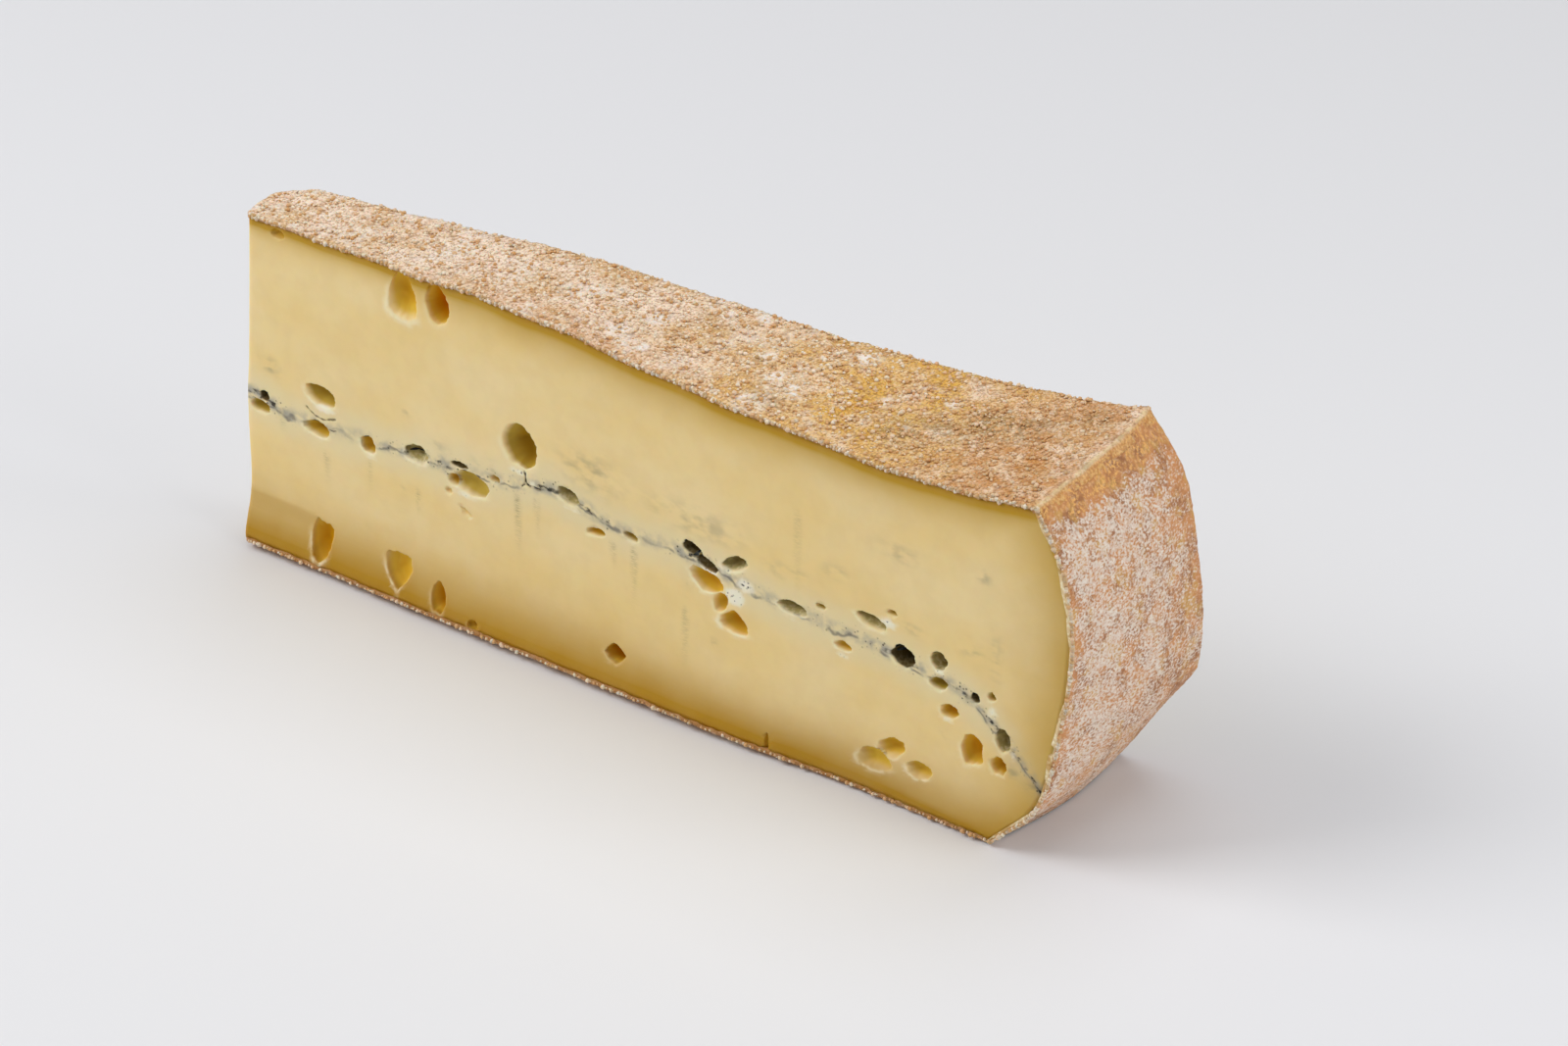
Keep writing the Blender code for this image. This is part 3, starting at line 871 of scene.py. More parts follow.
@dataclass(frozen=True)
class PasteFinish:
    """Waxy paste: creamy inside, olive under the rind, amber at the foot, with painted shade at the foot
    and along the rind's edge, painted shade and bounce glow in the eyes and painted highlights on their
    lips.
    """

    cream: Colour = (0.88, 0.67, 0.295)
    pale: Colour = (0.90, 0.72, 0.38)
    mottle: Colour = (0.62, 0.42, 0.16)
    chalky: Colour = (0.82, 0.71, 0.43)
    olive: Colour = (0.53, 0.305, 0.011)
    # Amber of the foot: partly the paste's own colour, partly painted shade low on the cut.
    foot: Colour = (0.48, 0.262, 0.010)
    # Dark brown band along the rind's edge and the base: partly the paste's own browning, partly painted
    # contact shade.
    contact_shade: Colour = (0.42, 0.19, 0.015)
    ash_grey: Colour = (0.32, 0.315, 0.285)
    smear: Colour = (0.22, 0.20, 0.13)
    drag: Colour = (0.28, 0.22, 0.10)
    strand: Colour = (0.15, 0.14, 0.125)
    curd: Colour = (0.93, 0.88, 0.71)
    soot: Colour = (0.014, 0.010, 0.006)
    # Pit colours laid on by depth: painted shade and the painted glow of light bounced inside the pit.
    honey: Colour = (0.76, 0.50, 0.06)
    amber: Colour = (0.70, 0.355, 0.005)
    umber: Colour = (0.76, 0.19, 0.0005)
    moss: Colour = (0.58, 0.40, 0.065)
    deep_moss: Colour = (0.46, 0.27, 0.016)
    grey_wall: Colour = (0.51, 0.41, 0.16)
    grey_floor: Colour = (0.34, 0.235, 0.05)
    scorched: Colour = (0.17, 0.10, 0.022)
    # Dark upper walls of ash-lined eyes: ash darkened further with painted shade.
    roof: Colour = (0.19, 0.14, 0.05)
    # Painted highlight on the lit lower lips of the eyes.
    lit_lip: Colour = (0.94, 0.85, 0.60)
    # Painted shade inside the cracks, from the edge down to a near-black floor.
    crack_edge_shade: Colour = (0.40, 0.30, 0.15)
    crack_shade: Colour = (0.030, 0.022, 0.015)
    roughness: float = 0.42
    scatter: float = 1.1

    def make(self) -> Material:
        """Makes the material."""
        r = Recipe("paste_finish")
        waves = r.cloud(5.0, 3.0, (2.6, 1.0, 0.5), 4.4)
        return r.dress(
            Base_Color=self._eyes(r, self._ash(r, self._paste(r))),
            Normal=r.bump(r.cloud(0.55, 3.0), 0.05, 0.35, r.bump(waves, 0.30, 0.35)),
            Roughness=r.clouded(2.2, 4.0, 0.25, 0.75, self.roughness - 0.08, self.roughness + 0.12),
            Subsurface_Weight=0.75, Subsurface_Radius=(1.0, 0.74, 0.42),
            Subsurface_Scale=self.scatter * MM, IOR=1.42,
            Specular_IOR_Level=r.step(r.named("bowl"), 0.0, 1.0, 0.3, 0.08),
        )

    def _paste(self, r: Recipe):
        """The colour of plain paste, darker towards the rind and the foot: the paste's own drying and
        amber, with painted shade at the foot and painted contact shade along the rind's edge and the base.
        """
        rindward, foot = r.many("rindward", "foot")
        off_seam = r.sum("ABSOLUTE", r.add(r.named("ash_gap"), r.wobble(9.0, 3.0)))
        under_rind = r.times(r.sum("MINIMUM", rindward, 1.0), r.clouded(9.0, 3.0, 0.2, 0.8, 0.90, 1.08))
        at_foot = r.times(r.sum("MINIMUM", foot, 1.0), r.clouded(14.0, 2.0, 0.2, 0.8, 0.92, 1.06))
        return r.coats(
            self.cream,
            (r.clouded(22.0, 3.0, 0.3, 0.7, stretch=(1.0, 1.0, 0.6)), self.pale),
            (r.clouded(4.0, 4.0, 0.35, 0.7, 0.0, 0.10), self.mottle),
            (r.step(off_seam, 1.0, 7.5, 0.80, 0.0), self.chalky),
            (under_rind, self.olive),
            # At the foot: the paste's own amber with painted shade.
            (at_foot, self.foot),
            # Past one, the rind and foot shares lay painted contact shade along the rind's edge and the
            # base.
            (r.step(r.sum("MAXIMUM", rindward, foot), 0.95, 1.8, 0.0, 0.45), self.contact_shade),
        )

    def _ash(self, r: Recipe, colour):
        """The broken line of ash over a colour, with its grey breath, smears, drags and specks."""
        gap, power, curd, smear, streak = r.many("ash_gap", "ash_power", "curd", "smear", "streak")
        off_line = r.sum("ABSOLUTE", r.add(gap, r.add(r.wobble(4.2, 1.9, 1.3), r.wobble(1.1, 0.5, 2.3))))
        off_strand = r.sum("ABSOLUTE", r.add(gap, r.add(r.wobble(6.0, 5.0, 7.7), 0.5)))
        breath = r.times(
            r.step(off_line, 0.1, 2.2, 1.0, 0.0), r.step(power, 0.05, 0.9, 0.45, 0.85),
            r.clouded(2.4, 3.0, 0.34, 0.66, shift=0.4),
        )
        strands = r.times(
            r.step(off_strand, 0.04, 0.46, 0.72, 0.0), r.clouded(3.4, 4.0, 0.38, 0.56, shift=6.2),
            r.step(power, 0.0, 0.45),
        )
        curds = r.times(
            r.step(r.add(curd, r.wobble(1.3, 0.9, 1.9)), 0.28, 0.66), r.step(curd, 0.05, 0.85, 0.0, 0.95),
        )
        reach = r.step(power, 0.0, 1.0, 0.12, 0.60)
        line = r.times(
            r.step(r.sum("DIVIDE", off_line, reach), 0.35, 1.15, 0.95, 0.0),
            r.step(r.add(r.cloud(6.5, 2.0, shift=4.1), r.times(power, 0.17)), 0.50, 0.62),
            r.step(r.add(r.cloud(1.3, 5.0, (1.3, 1.0, 0.9), 8.8), r.times(power, 0.13)), 0.56, 0.70),
        )
        specks = r.times(
            r.step(r.cells(0.95, shift=3.3), 0.26, 0.16), r.step(off_line, 0.4, 2.8, 1.0, 0.0),
            r.clouded(3.4, 2.0, 0.44, 0.56, shift=9.1), r.step(power, 0.1, 0.6),
        )
        dots = r.times(
            r.step(r.cells(0.75, shift=5.5), 0.34, 0.20), r.step(curd, 0.45, 0.75),
            r.clouded(1.2, 2.0, 0.42, 0.55, shift=2.7),
        )
        return r.coats(
            colour,
            (breath, self.ash_grey),
            (r.times(smear, r.clouded(2.3, 2.0, 0.38, 0.72, 0.0, 0.62, (1.5, 1.0, 0.8), 3.1)), self.smear),
            (r.times(streak, r.clouded(1.1, 1.0, 0.38, 0.60, 0.0, 0.85, (1.0, 1.0, 0.07), 5.3)), self.drag),
            (strands, self.strand),
            (curds, self.curd),
            (line, self.soot),
            (r.times(r.sum("MAXIMUM", specks, dots), 0.88), self.soot),
        )

    def _eyes(self, r: Recipe, colour):
        """Eyes over a colour: painted shade and bounce glow that deepen with depth, upper walls darkened by
        ash and painted shade, painted highlights on the lower lips.
        """
        deep, wall, rise, lip, crack = r.many("bowl", "wall", "rise", "lip", "crack")
        # The steps by depth are painted shade and bounce glow: honey to amber to umber, moss to deep moss,
        # grey wall to grey floor.
        bare = r.coats(
            colour, (r.step(deep, 0.15, 1.3), self.honey), (r.step(deep, 1.0, 2.9), self.amber),
            (r.step(deep, 2.6, 4.8), self.umber),
        )
        mossy = r.coats(
            colour, (r.step(deep, 0.1, 1.1), self.moss), (r.step(deep, 1.0, 3.8), self.deep_moss),
        )
        greyed = r.coats(
            colour, (r.step(deep, 0.1, 0.9), self.grey_wall), (r.step(deep, 1.2, 3.0), self.grey_floor),
        )
        lining, ashen, black = r.step(deep, 0.08, 0.5), r.step(wall, 0.5, 0.74), r.step(wall, 0.8, 1.0)
        # The roof is the eye's upper wall, painted dark as painted shade, laid mostly in eyes lined with
        # ash, which darkens it too.
        roof = r.step(r.add(rise, r.wobble(1.3, 2.2, 4.9)), -0.10, 0.60)
        crumbs = r.times(
            r.clouded(0.8, 2.0, 0.42, 0.66, shift=2.2), lining, r.step(rise, 0.10, -0.7), ashen,
            r.step(wall, 0.8, 1.0, 0.75, 0.14),
        )
        # Painted shade in the cracks, darker towards their middle.
        cracked = r.blend(r.step(crack, 0.30, 0.85), self.crack_edge_shade, self.crack_shade)
        return r.coats(
            bare,
            (r.step(wall, 0.0, 0.4), mossy),
            (ashen, greyed),
            (r.times(lining, black, 0.85), self.scorched),
            (r.times(roof, lining, r.step(wall, 0.35, 0.75, 0.0, 0.75)), self.roof),
            (r.times(black, lining, r.sum("MULTIPLY_ADD", roof, 0.62, 0.34)), self.soot),
            (crumbs, self.chalky),
            # Painted highlight on the lower lips.
            (r.times(lip, r.clouded(1.9, 3.0, 0.24, 0.56, 0.0, 0.78, shift=5.1)), self.lit_lip),
            (r.times(r.step(crack, 0.1, 0.6), r.clouded(1.4, 3.0, 0.34, 0.50, shift=8.3)), cracked),
        )


@dataclass(frozen=True)
class AshFinish:
    """Caked vegetable ash: matt, near black, with grey bloom."""

    soot: Colour = (0.016, 0.018, 0.018)
    bloom: Colour = (0.12, 0.13, 0.12)
    roughness: float = 0.85

    def make(self) -> Material:
        """Makes the material."""
        r = Recipe("ash_finish")
        colour = r.blend(r.clouded(1.2, 4.0, 0.45, 0.75), self.soot, self.bloom)
        return r.dress(
            Base_Color=colour, Roughness=self.roughness, Normal=r.bump(r.cloud(0.4, 3.0), 0.12, 0.8),
        )


@dataclass(frozen=True)
class TopRindFinish:
    """Sandy upper rind: sugary grains over a tan to orange-brown ground, with white flecks, painted shade
    between the grains, painted glints on them and a painted highlight on the turned rim.
    """

    beige: Colour = (0.90, 0.70, 0.53)
    tan: Colour = (0.72, 0.46, 0.21)
    gold: Colour = (0.74, 0.41, 0.055)
    orange: Colour = (0.60, 0.26, 0.055)
    olive: Colour = (0.20, 0.14, 0.045)
    sugar: Colour = (0.92, 0.77, 0.60)
    glint: Colour = (0.94, 0.84, 0.70)
    white: Colour = (0.88, 0.81, 0.73)
    # Painted highlight on the rim where the skin turns down over the heel.
    rim: Colour = (0.82, 0.48, 0.16)
    crease: Colour = (0.82, 0.64, 0.34)
    dark_crease: Colour = (0.33, 0.28, 0.17)
    # Painted shade between the grains.
    crevice_shade: Colour = (0.28, 0.12, 0.035)
    inside: Colour = (0.42, 0.19, 0.04)
    roughness: float = 0.6

    def make(self) -> Material:
        """Makes the material."""
        r = Recipe("top_rind_finish")
        tone, border, warm, golden, dark = r.many("tone", "border", "warm", "golden", "dark")
        chalk, ridge, inner, turned = r.many("chalk", "ridge", "inner", "turned")
        fine = r.cloud(0.45, 3.0, shift=1.0)
        plain = r.sum("SUBTRACT", 1.0, r.times(r.sum("MAXIMUM", golden, warm), 0.5))
        # The turned rim: orange rind with a painted highlight in patches.
        rim = r.blend(r.clouded(0.6, 4.0, 0.40, 0.62, shift=1.3), self.orange, self.rim)
        colour = r.coats(
            self.tan,
            (r.clouded(9.0, 4.0, 0.32, 0.58), self.beige),
            (r.times(golden, r.clouded(5.0, 3.0, 0.22, 0.50, shift=2.0)), self.gold),
            (r.times(warm, r.clouded(4.0, 4.0, 0.30, 0.58, shift=6.0)), self.orange),
            (r.times(dark, r.clouded(1.6, 3.0, 0.36, 0.56, shift=7.0)), self.olive),
            (r.times(plain, r.step(tone, 0.55, 1.0, 0.0, 0.42)), self.sugar),
            (r.step(tone, 0.30, 0.0, 0.0, 0.40), self.orange),
            (r.times(plain, r.step(fine, 0.52, 0.66, 0.0, 0.45)), self.glint),
            # Painted shade in the low places between grains and along their borders.
            (r.step(fine, 0.50, 0.36, 0.0, 0.62), self.crevice_shade),
            (r.step(border, 0.14, 0.0, 0.0, 0.55), self.crevice_shade),
            (r.times(chalk, r.clouded(1.1, 4.0, 0.34, 0.54, shift=9.0)), self.white),
            (r.times(turned, 0.85), rim),
            (r.times(ridge, r.clouded(1.6, 3.0, 0.28, 0.50, 0.0, 0.85, shift=3.0)), self.crease),
            (r.times(ridge, dark, 0.8), self.dark_crease),
            (inner, self.inside),
        )
        return r.dress(
            Base_Color=colour, Normal=r.bump(fine, 0.10, 0.6, r.bump(r.cells(0.42), 0.22, 0.7)),
            Roughness=r.clouded(0.7, 2.0, 0.3, 0.7, self.roughness - 0.2, self.roughness + 0.2),
            Subsurface_Weight=0.25, Subsurface_Radius=(1.0, 0.5, 0.25), Subsurface_Scale=0.6 * MM,
        )


@dataclass(frozen=True)
class HeelRindFinish:
    """The heel's rind: orange-brown under a powdery white bloom, bare in a strip by the rim."""

    orange: Colour = (0.60, 0.26, 0.09)
    brown: Colour = (0.34, 0.14, 0.055)
    ochre: Colour = (0.62, 0.36, 0.09)
    fleck: Colour = (0.82, 0.56, 0.32)
    rim: Colour = (0.82, 0.46, 0.14)
    bloom: Colour = (0.77, 0.66, 0.555)
    thick_bloom: Colour = (0.86, 0.77, 0.67)
    crust: Colour = (0.74, 0.56, 0.30)
    pale_crust: Colour = (0.88, 0.78, 0.52)
    brown_crust: Colour = (0.50, 0.27, 0.05)
    roughness: float = 0.82

    def make(self) -> Material:
        """Makes the material."""
        r = Recipe("heel_rind_finish")
        tone, border, bare, inner = r.many("tone", "border", "bare", "inner")
        rim = r.times(
            r.step(bare, 0.55, 1.0), r.clouded(0.6, 4.0, 0.46, 0.62, shift=1.3),
            r.clouded(3.0, 2.0, 0.30, 0.60, 0.35, 1.0, shift=4.6),
        )
        cover = r.add(r.cloud(0.54, 4.0, (1.1, 1.1, 0.75), 2.0), r.wobble(2.6, 0.30, 7.0))
        cover = r.add(cover, r.wobble(9.0, 0.24, 5.0))
        powder = r.step(r.sum("SUBTRACT", cover, r.times(bare, 0.30)), 0.36, 0.60)
        crust = r.coats(
            self.crust,
            (r.clouded(0.8, 3.0, 0.48, 0.64, shift=3.7), self.pale_crust),
            (r.clouded(2.2, 3.0, 0.50, 0.60, 0.0, 0.8, shift=8.1), self.brown_crust),
        )
        colour = r.coats(
            self.orange,
            (r.clouded(4.0, 4.0, 0.38, 0.66), self.brown),
            (r.clouded(3.2, 3.0, 0.52, 0.66, 0.0, 0.7, shift=4.0), self.ochre),
            (r.clouded(0.7, 3.0, 0.50, 0.66, 0.0, 0.45, shift=6.4), self.fleck),
            (rim, self.rim),
            (r.times(powder, 0.95), self.bloom),
            (r.times(powder, r.step(tone, 0.5, 1.0, 0.0, 0.6)), self.thick_bloom),
            (r.step(border, 0.16, 0.0, 0.0, 0.50), self.orange),
            (r.step(inner, 0.12, 0.40), crust),
        )
        return r.dress(
            Base_Color=colour, Roughness=self.roughness,
            Normal=r.bump(r.cloud(0.35, 3.0), 0.10, 0.7, r.bump(r.cells(0.45), 0.14, 0.6)),
            Subsurface_Weight=0.15, Subsurface_Radius=(1.0, 0.5, 0.3), Subsurface_Scale=0.4 * MM,
        )


@dataclass(frozen=True)
class GrainFinish:
    """Loose sugary grains of rind, from brown through amber to clear cream."""

    amber: Colour = (0.60, 0.33, 0.12)
    clear: Colour = (0.88, 0.74, 0.58)
    honey: Colour = (0.80, 0.55, 0.32)
    roughness: float = 0.38

    def make(self) -> Material:
        """Makes the material."""
        r = Recipe("grain_finish")
        colour = r.coats(
            self.amber,
            (r.step(r.named("tone"), 0.15, 0.8), self.clear),
            (r.clouded(0.5, 2.0, 0.4, 0.65, 0.0, 0.4), self.honey),
        )
        return r.dress(
            Base_Color=colour, Roughness=self.roughness, Normal=r.bump(r.cloud(0.25, 2.0), 0.06, 0.6),
            Subsurface_Weight=0.4, Subsurface_Radius=(1.0, 0.6, 0.35), Subsurface_Scale=0.5 * MM,
        )


# Pieces ------------------------------------------------------------------------------------

ON_CUT = 1e-4
OUTERMOST = 0.999


def on_cut(across: Points, side: float) -> Points:
    """Which places lie on the cut at that share across."""
    return np.flatnonzero(np.abs(across - side) < ON_CUT)


def from_edges(across: Points) -> tuple[Points, Points]:
    """How far in from the nearer cut shares across lie, and which way that cut faces."""
    return np.minimum(across, 1.0 - across), np.where(across < 0.5, -1.0, 1.0)


@dataclass
class Paste:
    """The body of paste, with its eyes, cracks, the stains on its cut faces and the painted shade and
    highlights laid on them.
    """

    form: SliceForm
    front: EyeField
    back: EyeField
    skin: float = 0.75
    cuts: tuple = ((12, 16), (9,), (80,))
    detail_reaches: tuple = (1.25, 1.2)
    ash_power: Stations = (
        (-9.0, 0.9), (3.0, 0.85), (6.0, 0.5), (12.0, 0.2), (24.0, 0.25), (30.0, 0.5), (42.0, 0.7),
        (52.0, 0.4), (60.0, 0.35), (65.5, 0.9), (70.0, 0.6), (78.0, 0.55), (84.0, 0.25), (92.0, 0.3),
        (96.0, 1.0), (102.0, 1.0), (107.0, 0.6), (112.0, 0.3), (120.0, 0.3), (128.0, 0.4),
        (136.0, 0.5), (140.0, 1.0), (146.0, 0.6), (153.0, 0.5), (156.0, 0.8), (159.0, 0.7), (163.0, 1.0),
        (165.5, 0.9), (168.0, 0.5), (169.5, 1.0), (172.0, 1.0), (176.0, 0.3),
    )
    smears: tuple = (
        (1.2, 38.0, 2.0, 1.4, 0.9), (33.4, 39.4, 1.6, 1.0, 0.7), (40.5, 35.0, 2.0, 1.2, 0.6),
        (51.5, 34.6, 2.4, 1.4, 0.9), (75.0, 41.5, 6.0, 3.2, 0.75), (98.0, 40.0, 8.5, 2.6, 0.7),
        (127.7, 41.0, 2.2, 1.4, 0.6), (141.0, 49.0, 4.0, 1.6, 0.6), (144.0, 35.4, 2.2, 0.7, 0.9),
        (156.0, 36.0, 2.2, 1.6, 0.6), (161.0, 36.0, 1.2, 4.0, 0.6), (158.3, 50.8, 1.1, 1.1, 1.0),
        (31.7, 23.3, 0.9, 0.9, 0.8), (151.0, 17.6, 0.8, 0.8, 0.7), (102.0, 17.6, 0.9, 0.7, 0.7),
        (96.1, 27.6, 0.9, 0.9, 0.8), (118.0, 37.0, 5.0, 1.6, 0.5), (165.0, 15.7, 1.5, 1.3, 0.8),
        (170.2, 14.3, 2.0, 1.0, 1.2),
    )
    curds: tuple = (
        (106.4, 28.2, 2.3, 1.9, 1.15), (101.0, 31.4, 3.0, 0.8, 0.8), (108.6, 31.2, 2.4, 1.9, 0.85),
        (46.5, 27.2, 3.8, 1.0, 0.65), (14.0, 33.4, 3.0, 1.0, 0.85), (6.0, 28.6, 2.2, 1.0, 0.5),
        (138.8, 34.9, 2.6, 1.3, 0.8), (160.6, 25.6, 1.5, 2.0, 0.7), (129.4, 25.3, 2.4, 0.8, 0.7),
        (151.6, 20.8, 2.4, 0.8, 0.6), (149.4, 29.4, 2.2, 0.6, 0.7), (71.0, 33.0, 3.0, 0.9, 0.6),
        (164.9, 18.9, 1.5, 1.7, 0.5), (58.8, 36.4, 3.0, 0.9, 0.75), (62.0, 34.9, 1.6, 1.4, 0.6),
        (104.6, 33.0, 1.8, 0.9, 0.6), (24.6, 27.4, 2.2, 1.0, 0.6), (119.0, 28.6, 3.4, 1.0, 0.5),
    )
    streaks: tuple = (
        (3.7, 30.0, 25.0, 0.7), (14.0, 25.0, 18.0, 0.6), (24.2, 27.0, 20.0, 0.4), (35.5, 25.0, 19.0, 0.6),
        (58.5, 32.5, 19.0, 1.0), (62.9, 33.0, 24.0, 0.5), (79.8, 30.0, 24.0, 0.6), (84.4, 31.0, 18.0, 0.7),
        (95.6, 23.0, 10.0, 0.7), (119.9, 51.0, 32.0, 0.45),
    )
    streak_width: float = 0.6
    cracks: tuple = (
        (1.0, ((60.4, 36.9), (60.5, 34.6), (61.4, 34.2), (63.7, 34.4))),
        (0.9, ((60.5, 34.6), (59.6, 33.6))),
        (0.6, ((9.4, 32.6), (11.6, 31.3), (13.4, 31.0), (16.2, 32.0))),
    )
    crack_depth: float = 0.35
    cut_rough: tuple = ((0.05, 2.4, 6), (0.03, 0.9, 7))
    crumb_rough: tuple = ((0.12, 0.9, 5),)
    ashy_rough: float = 0.30
    rind_depths: tuple = (3.4, 5.4)
    rind_deepens: tuple = (20.0, 60.0)
    heel_depth: float = 8.2
    heel_tint: float = 0.76
    foot_depths: tuple = (10.5, 8.5)
    foot_thins: tuple = (60.0, 120.0)
    foot_pales: tuple = (132.0, 164.0)
    foot_paling: float = 0.32
    fold_height: float = 10.6
    fold_slope: float = 0.03
    fold_softness: float = 2.0
    fold_ends: tuple = (6.0, 34.0)
    fold_shade: float = 0.62
    contact_shade_depth: float = 1.3

    def build(self, material: Material) -> Piece:
        """Builds the paste and lets it stand for both pastes of the solid model."""
        piece = divided_cube("paste_body", self.cuts)
        for reach in self.detail_reaches:
            refine(piece, self._wants_detail(piece, reach))
        shares = corners(piece)
        points = self.form.place(shares, self.skin)
        pitted, linings = self._open_eyes(shares[:, 1], points)
        put(piece, pitted)
        give(piece, **self._stains_and_painted_light(shares[:, 1], points), **linings)
        finish_piece(piece, material)
        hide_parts("lower_paste", "upper_paste")
        return piece

    def cut_faces(self) -> tuple:
        """Both cuts: the share across where each lies, its eyes and the way into the paste."""
        return (0.0, self.front, 1.0), (1.0, self.back, -1.0)

    def _wants_detail(self, piece: Piece, reach: float) -> Points:
        """Which faces of the cuts lie in or near an eye or a crack."""
        shares = face_middles(piece)
        points = self.form.place(shares, self.skin)
        wanted = np.zeros(len(shares), dtype=bool)
        for side, field, _ in self.cut_faces():
            on = on_cut(shares[:, 1], side)
            chosen = field.open(points[on, 0], points[on, 2])["near"] < reach
            if field is self.front:
                chosen |= self._cracked(points[on], 0.9, 0.1) > 0.0
            wanted[on] = chosen
        return wanted

    def _cracked(self, points: Points, width: float, fade: float, rough: Points = 0.0) -> Points:
        """How cracked the front cut is at points, fading that far beyond half the width."""
        most = np.zeros(len(points))
        flat = points[:, (0, 2)]
        for strength, line in self.cracks:
            for start, end in itertools.pairwise(np.array(line)):
                run = end - start
                share = np.clip(((flat - start) @ run) / (run @ run), 0.0, 1.0)
                gap = np.linalg.norm(flat - start - share[:, None] * run, axis=1) + rough
                most = np.maximum(most, strength * (1.0 - eased((gap - width) / fade)))
        return most

    def _open_eyes(self, across: Points, points: Points) -> tuple[Points, dict[str, Points]]:
        """The points with both cuts pitted and roughened, and how the pits are lined."""
        moved = points.copy()
        linings = {name: np.zeros(len(points)) for name in ("bowl", "wall", "rise", "lip", "crack")}
        for side, field, inward in self.cut_faces():
            on = on_cut(across, side)
            at = points[on]
            opened = field.open(at[:, 0], at[:, 2])
            inside = np.clip(opened["bowl"], 0.0, 1.0)
            ashy = self.ashy_rough * opened["wall"] * lumps(at, 1.6, 8)
            crumbs = (roughened(0.0, at, self.crumb_rough) + ashy) * inside
            skin = roughened(0.0, at, self.cut_rough)
            opened["crack"] = np.zeros(len(on))
            if field is self.front:
                opened["crack"] = self._cracked(at, 0.06, 0.26, 0.16 * lumps(at, 0.9, 9))
            moved[on, 0], moved[on, 2] = opened["x"], opened["z"]
            moved[on, 1] += inward * (opened["sink"] + crumbs + skin + self.crack_depth * opened["crack"])
            # The lip's painted highlight lies in a thin band just outside the rim.
            opened["lip"] = opened["lip"] * fading(opened["near"] - 1.12, 0.16)
            for name, values in linings.items():
                values[on] = opened[name]
        return moved, linings

    def _stains_and_painted_light(self, across: Points, points: Points) -> dict[str, Points]:
        """How near points are to the rind, the foot and the ash, where painted shade lies along the rind's
        edge, the base and the foot's fold, and what has stained them.
        """
        form = self.form
        x, y, z = points.T
        from_top = np.maximum(form.top(x, y) - z, 0.0)
        from_heel = np.maximum(form.heel(z, across) - x, 0.0)
        from_base = np.maximum(z - form.base(x, y), 0.0)
        rindward = fading(from_top, mix(*self.rind_depths, passed(x, self.rind_deepens)), 1.7)
        # The narrow band right under the rind's edge is painted contact shade where the rind's lip shades
        # the paste.
        rindward = rindward + 0.8 * fading(from_top - self.skin, self.contact_shade_depth)
        rindward = np.maximum(rindward, self.heel_tint * fading(from_heel, self.heel_depth, 1.6))
        # The foot share is partly the paste's own amber, partly painted shade low on the cut.
        foot = fading(from_base, mix(*self.foot_depths, passed(x, self.foot_thins)), 2.2)
        # Below the fold line the foot is painted darker: painted shade under the fold of the spread foot.
        fold = 1.0 - eased((z - self.fold_height + self.fold_slope * x) / self.fold_softness)
        fold = fold * (1.0 - passed(x, self.fold_ends))
        foot = np.maximum(foot, self.fold_shade * fold)
        # The narrow band along the base is painted contact shade.
        foot = foot + 0.6 * fading(from_base - self.skin, self.contact_shade_depth)
        foot = foot * (1.0 - self.foot_paling * passed(x, self.foot_pales))
        streak = np.zeros_like(x)
        for at_x, high, low, strength in self.streaks:
            run = np.clip((high - z) / (high - low), 0.0, 1.0)
            fall = eased(run * 6.0) * (1.0 - run)
            streak = np.maximum(streak, fading(x - at_x, self.streak_width) * fall * strength)
        return {
            "rindward": rindward, "foot": foot, "ash_gap": z - form.ash(x, y),
            "ash_power": along_line(self.ash_power, x), "smear": blots(x, z, self.smears),
            "curd": blots(x, z, self.curds), "streak": streak,
        }


@dataclass
class AshSeam:
    """The seam of ash: a thin wavy sheet that crumbles out of the cut where it is strongest."""

    form: SliceForm
    paste: Paste
    thickness: float = 0.5
    cuts: tuple = ((12, 18), (9,), ())
    starts_at: float = 0.004
    runs_for: float = 0.985
    under_rind: float = 1.0
    sunk_in_eyes: float = 0.7
    sunk: float = 0.40
    sunk_less: float = 0.26
    cut_rough: tuple = ((0.14, 1.3, 21),)
    roll: tuple = ((0.25, 2.6, 23),)

    def build(self, material: Material) -> Piece:
        """Builds the seam and lets it stand for the solid model's ash."""
        piece = divided_cube("ash_seam", self.cuts)
        form, shares = self.form, corners(piece)
        across = shares[:, 1]
        along = self.starts_at + self.runs_for * shares[:, 0]
        x = form.base_length * along
        y, z = np.zeros_like(x), np.zeros_like(x)
        for _ in range(SETTLING_ROUNDS):
            z = form.ash(x, y)
            y = mix(form.front(x, z), form.back(x, z), across)
            x = mix(form.tip(z, across), form.heel(z, across) - self.under_rind, along)
        power = along_line(self.paste.ash_power, x)
        for side, field, inward in self.paste.cut_faces():
            on = on_cut(across, side)
            opened = field.open(x[on], z[on])
            at = points_of(x[on], y[on], z[on])
            plain = roughened(self.sunk - self.sunk_less * power[on], at, self.cut_rough)
            cover = np.where(opened["near"] < 1.15, self.sunk_in_eyes, plain)
            y[on] += inward * (np.maximum(opened["sink"], 0.0) + cover)
        points = points_of(x, y, z)
        half = 0.5 * self.thickness * (0.4 + 0.9 * power) * (1.0 + 0.5 * lumps(points, 2.0, 22))
        z = roughened(z + np.where(shares[:, 2] > 0.5, half, -half), points, self.roll)
        put(piece, points_of(x, y, z))
        finish_piece(piece, material)
        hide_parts("ash_layer")
        return piece


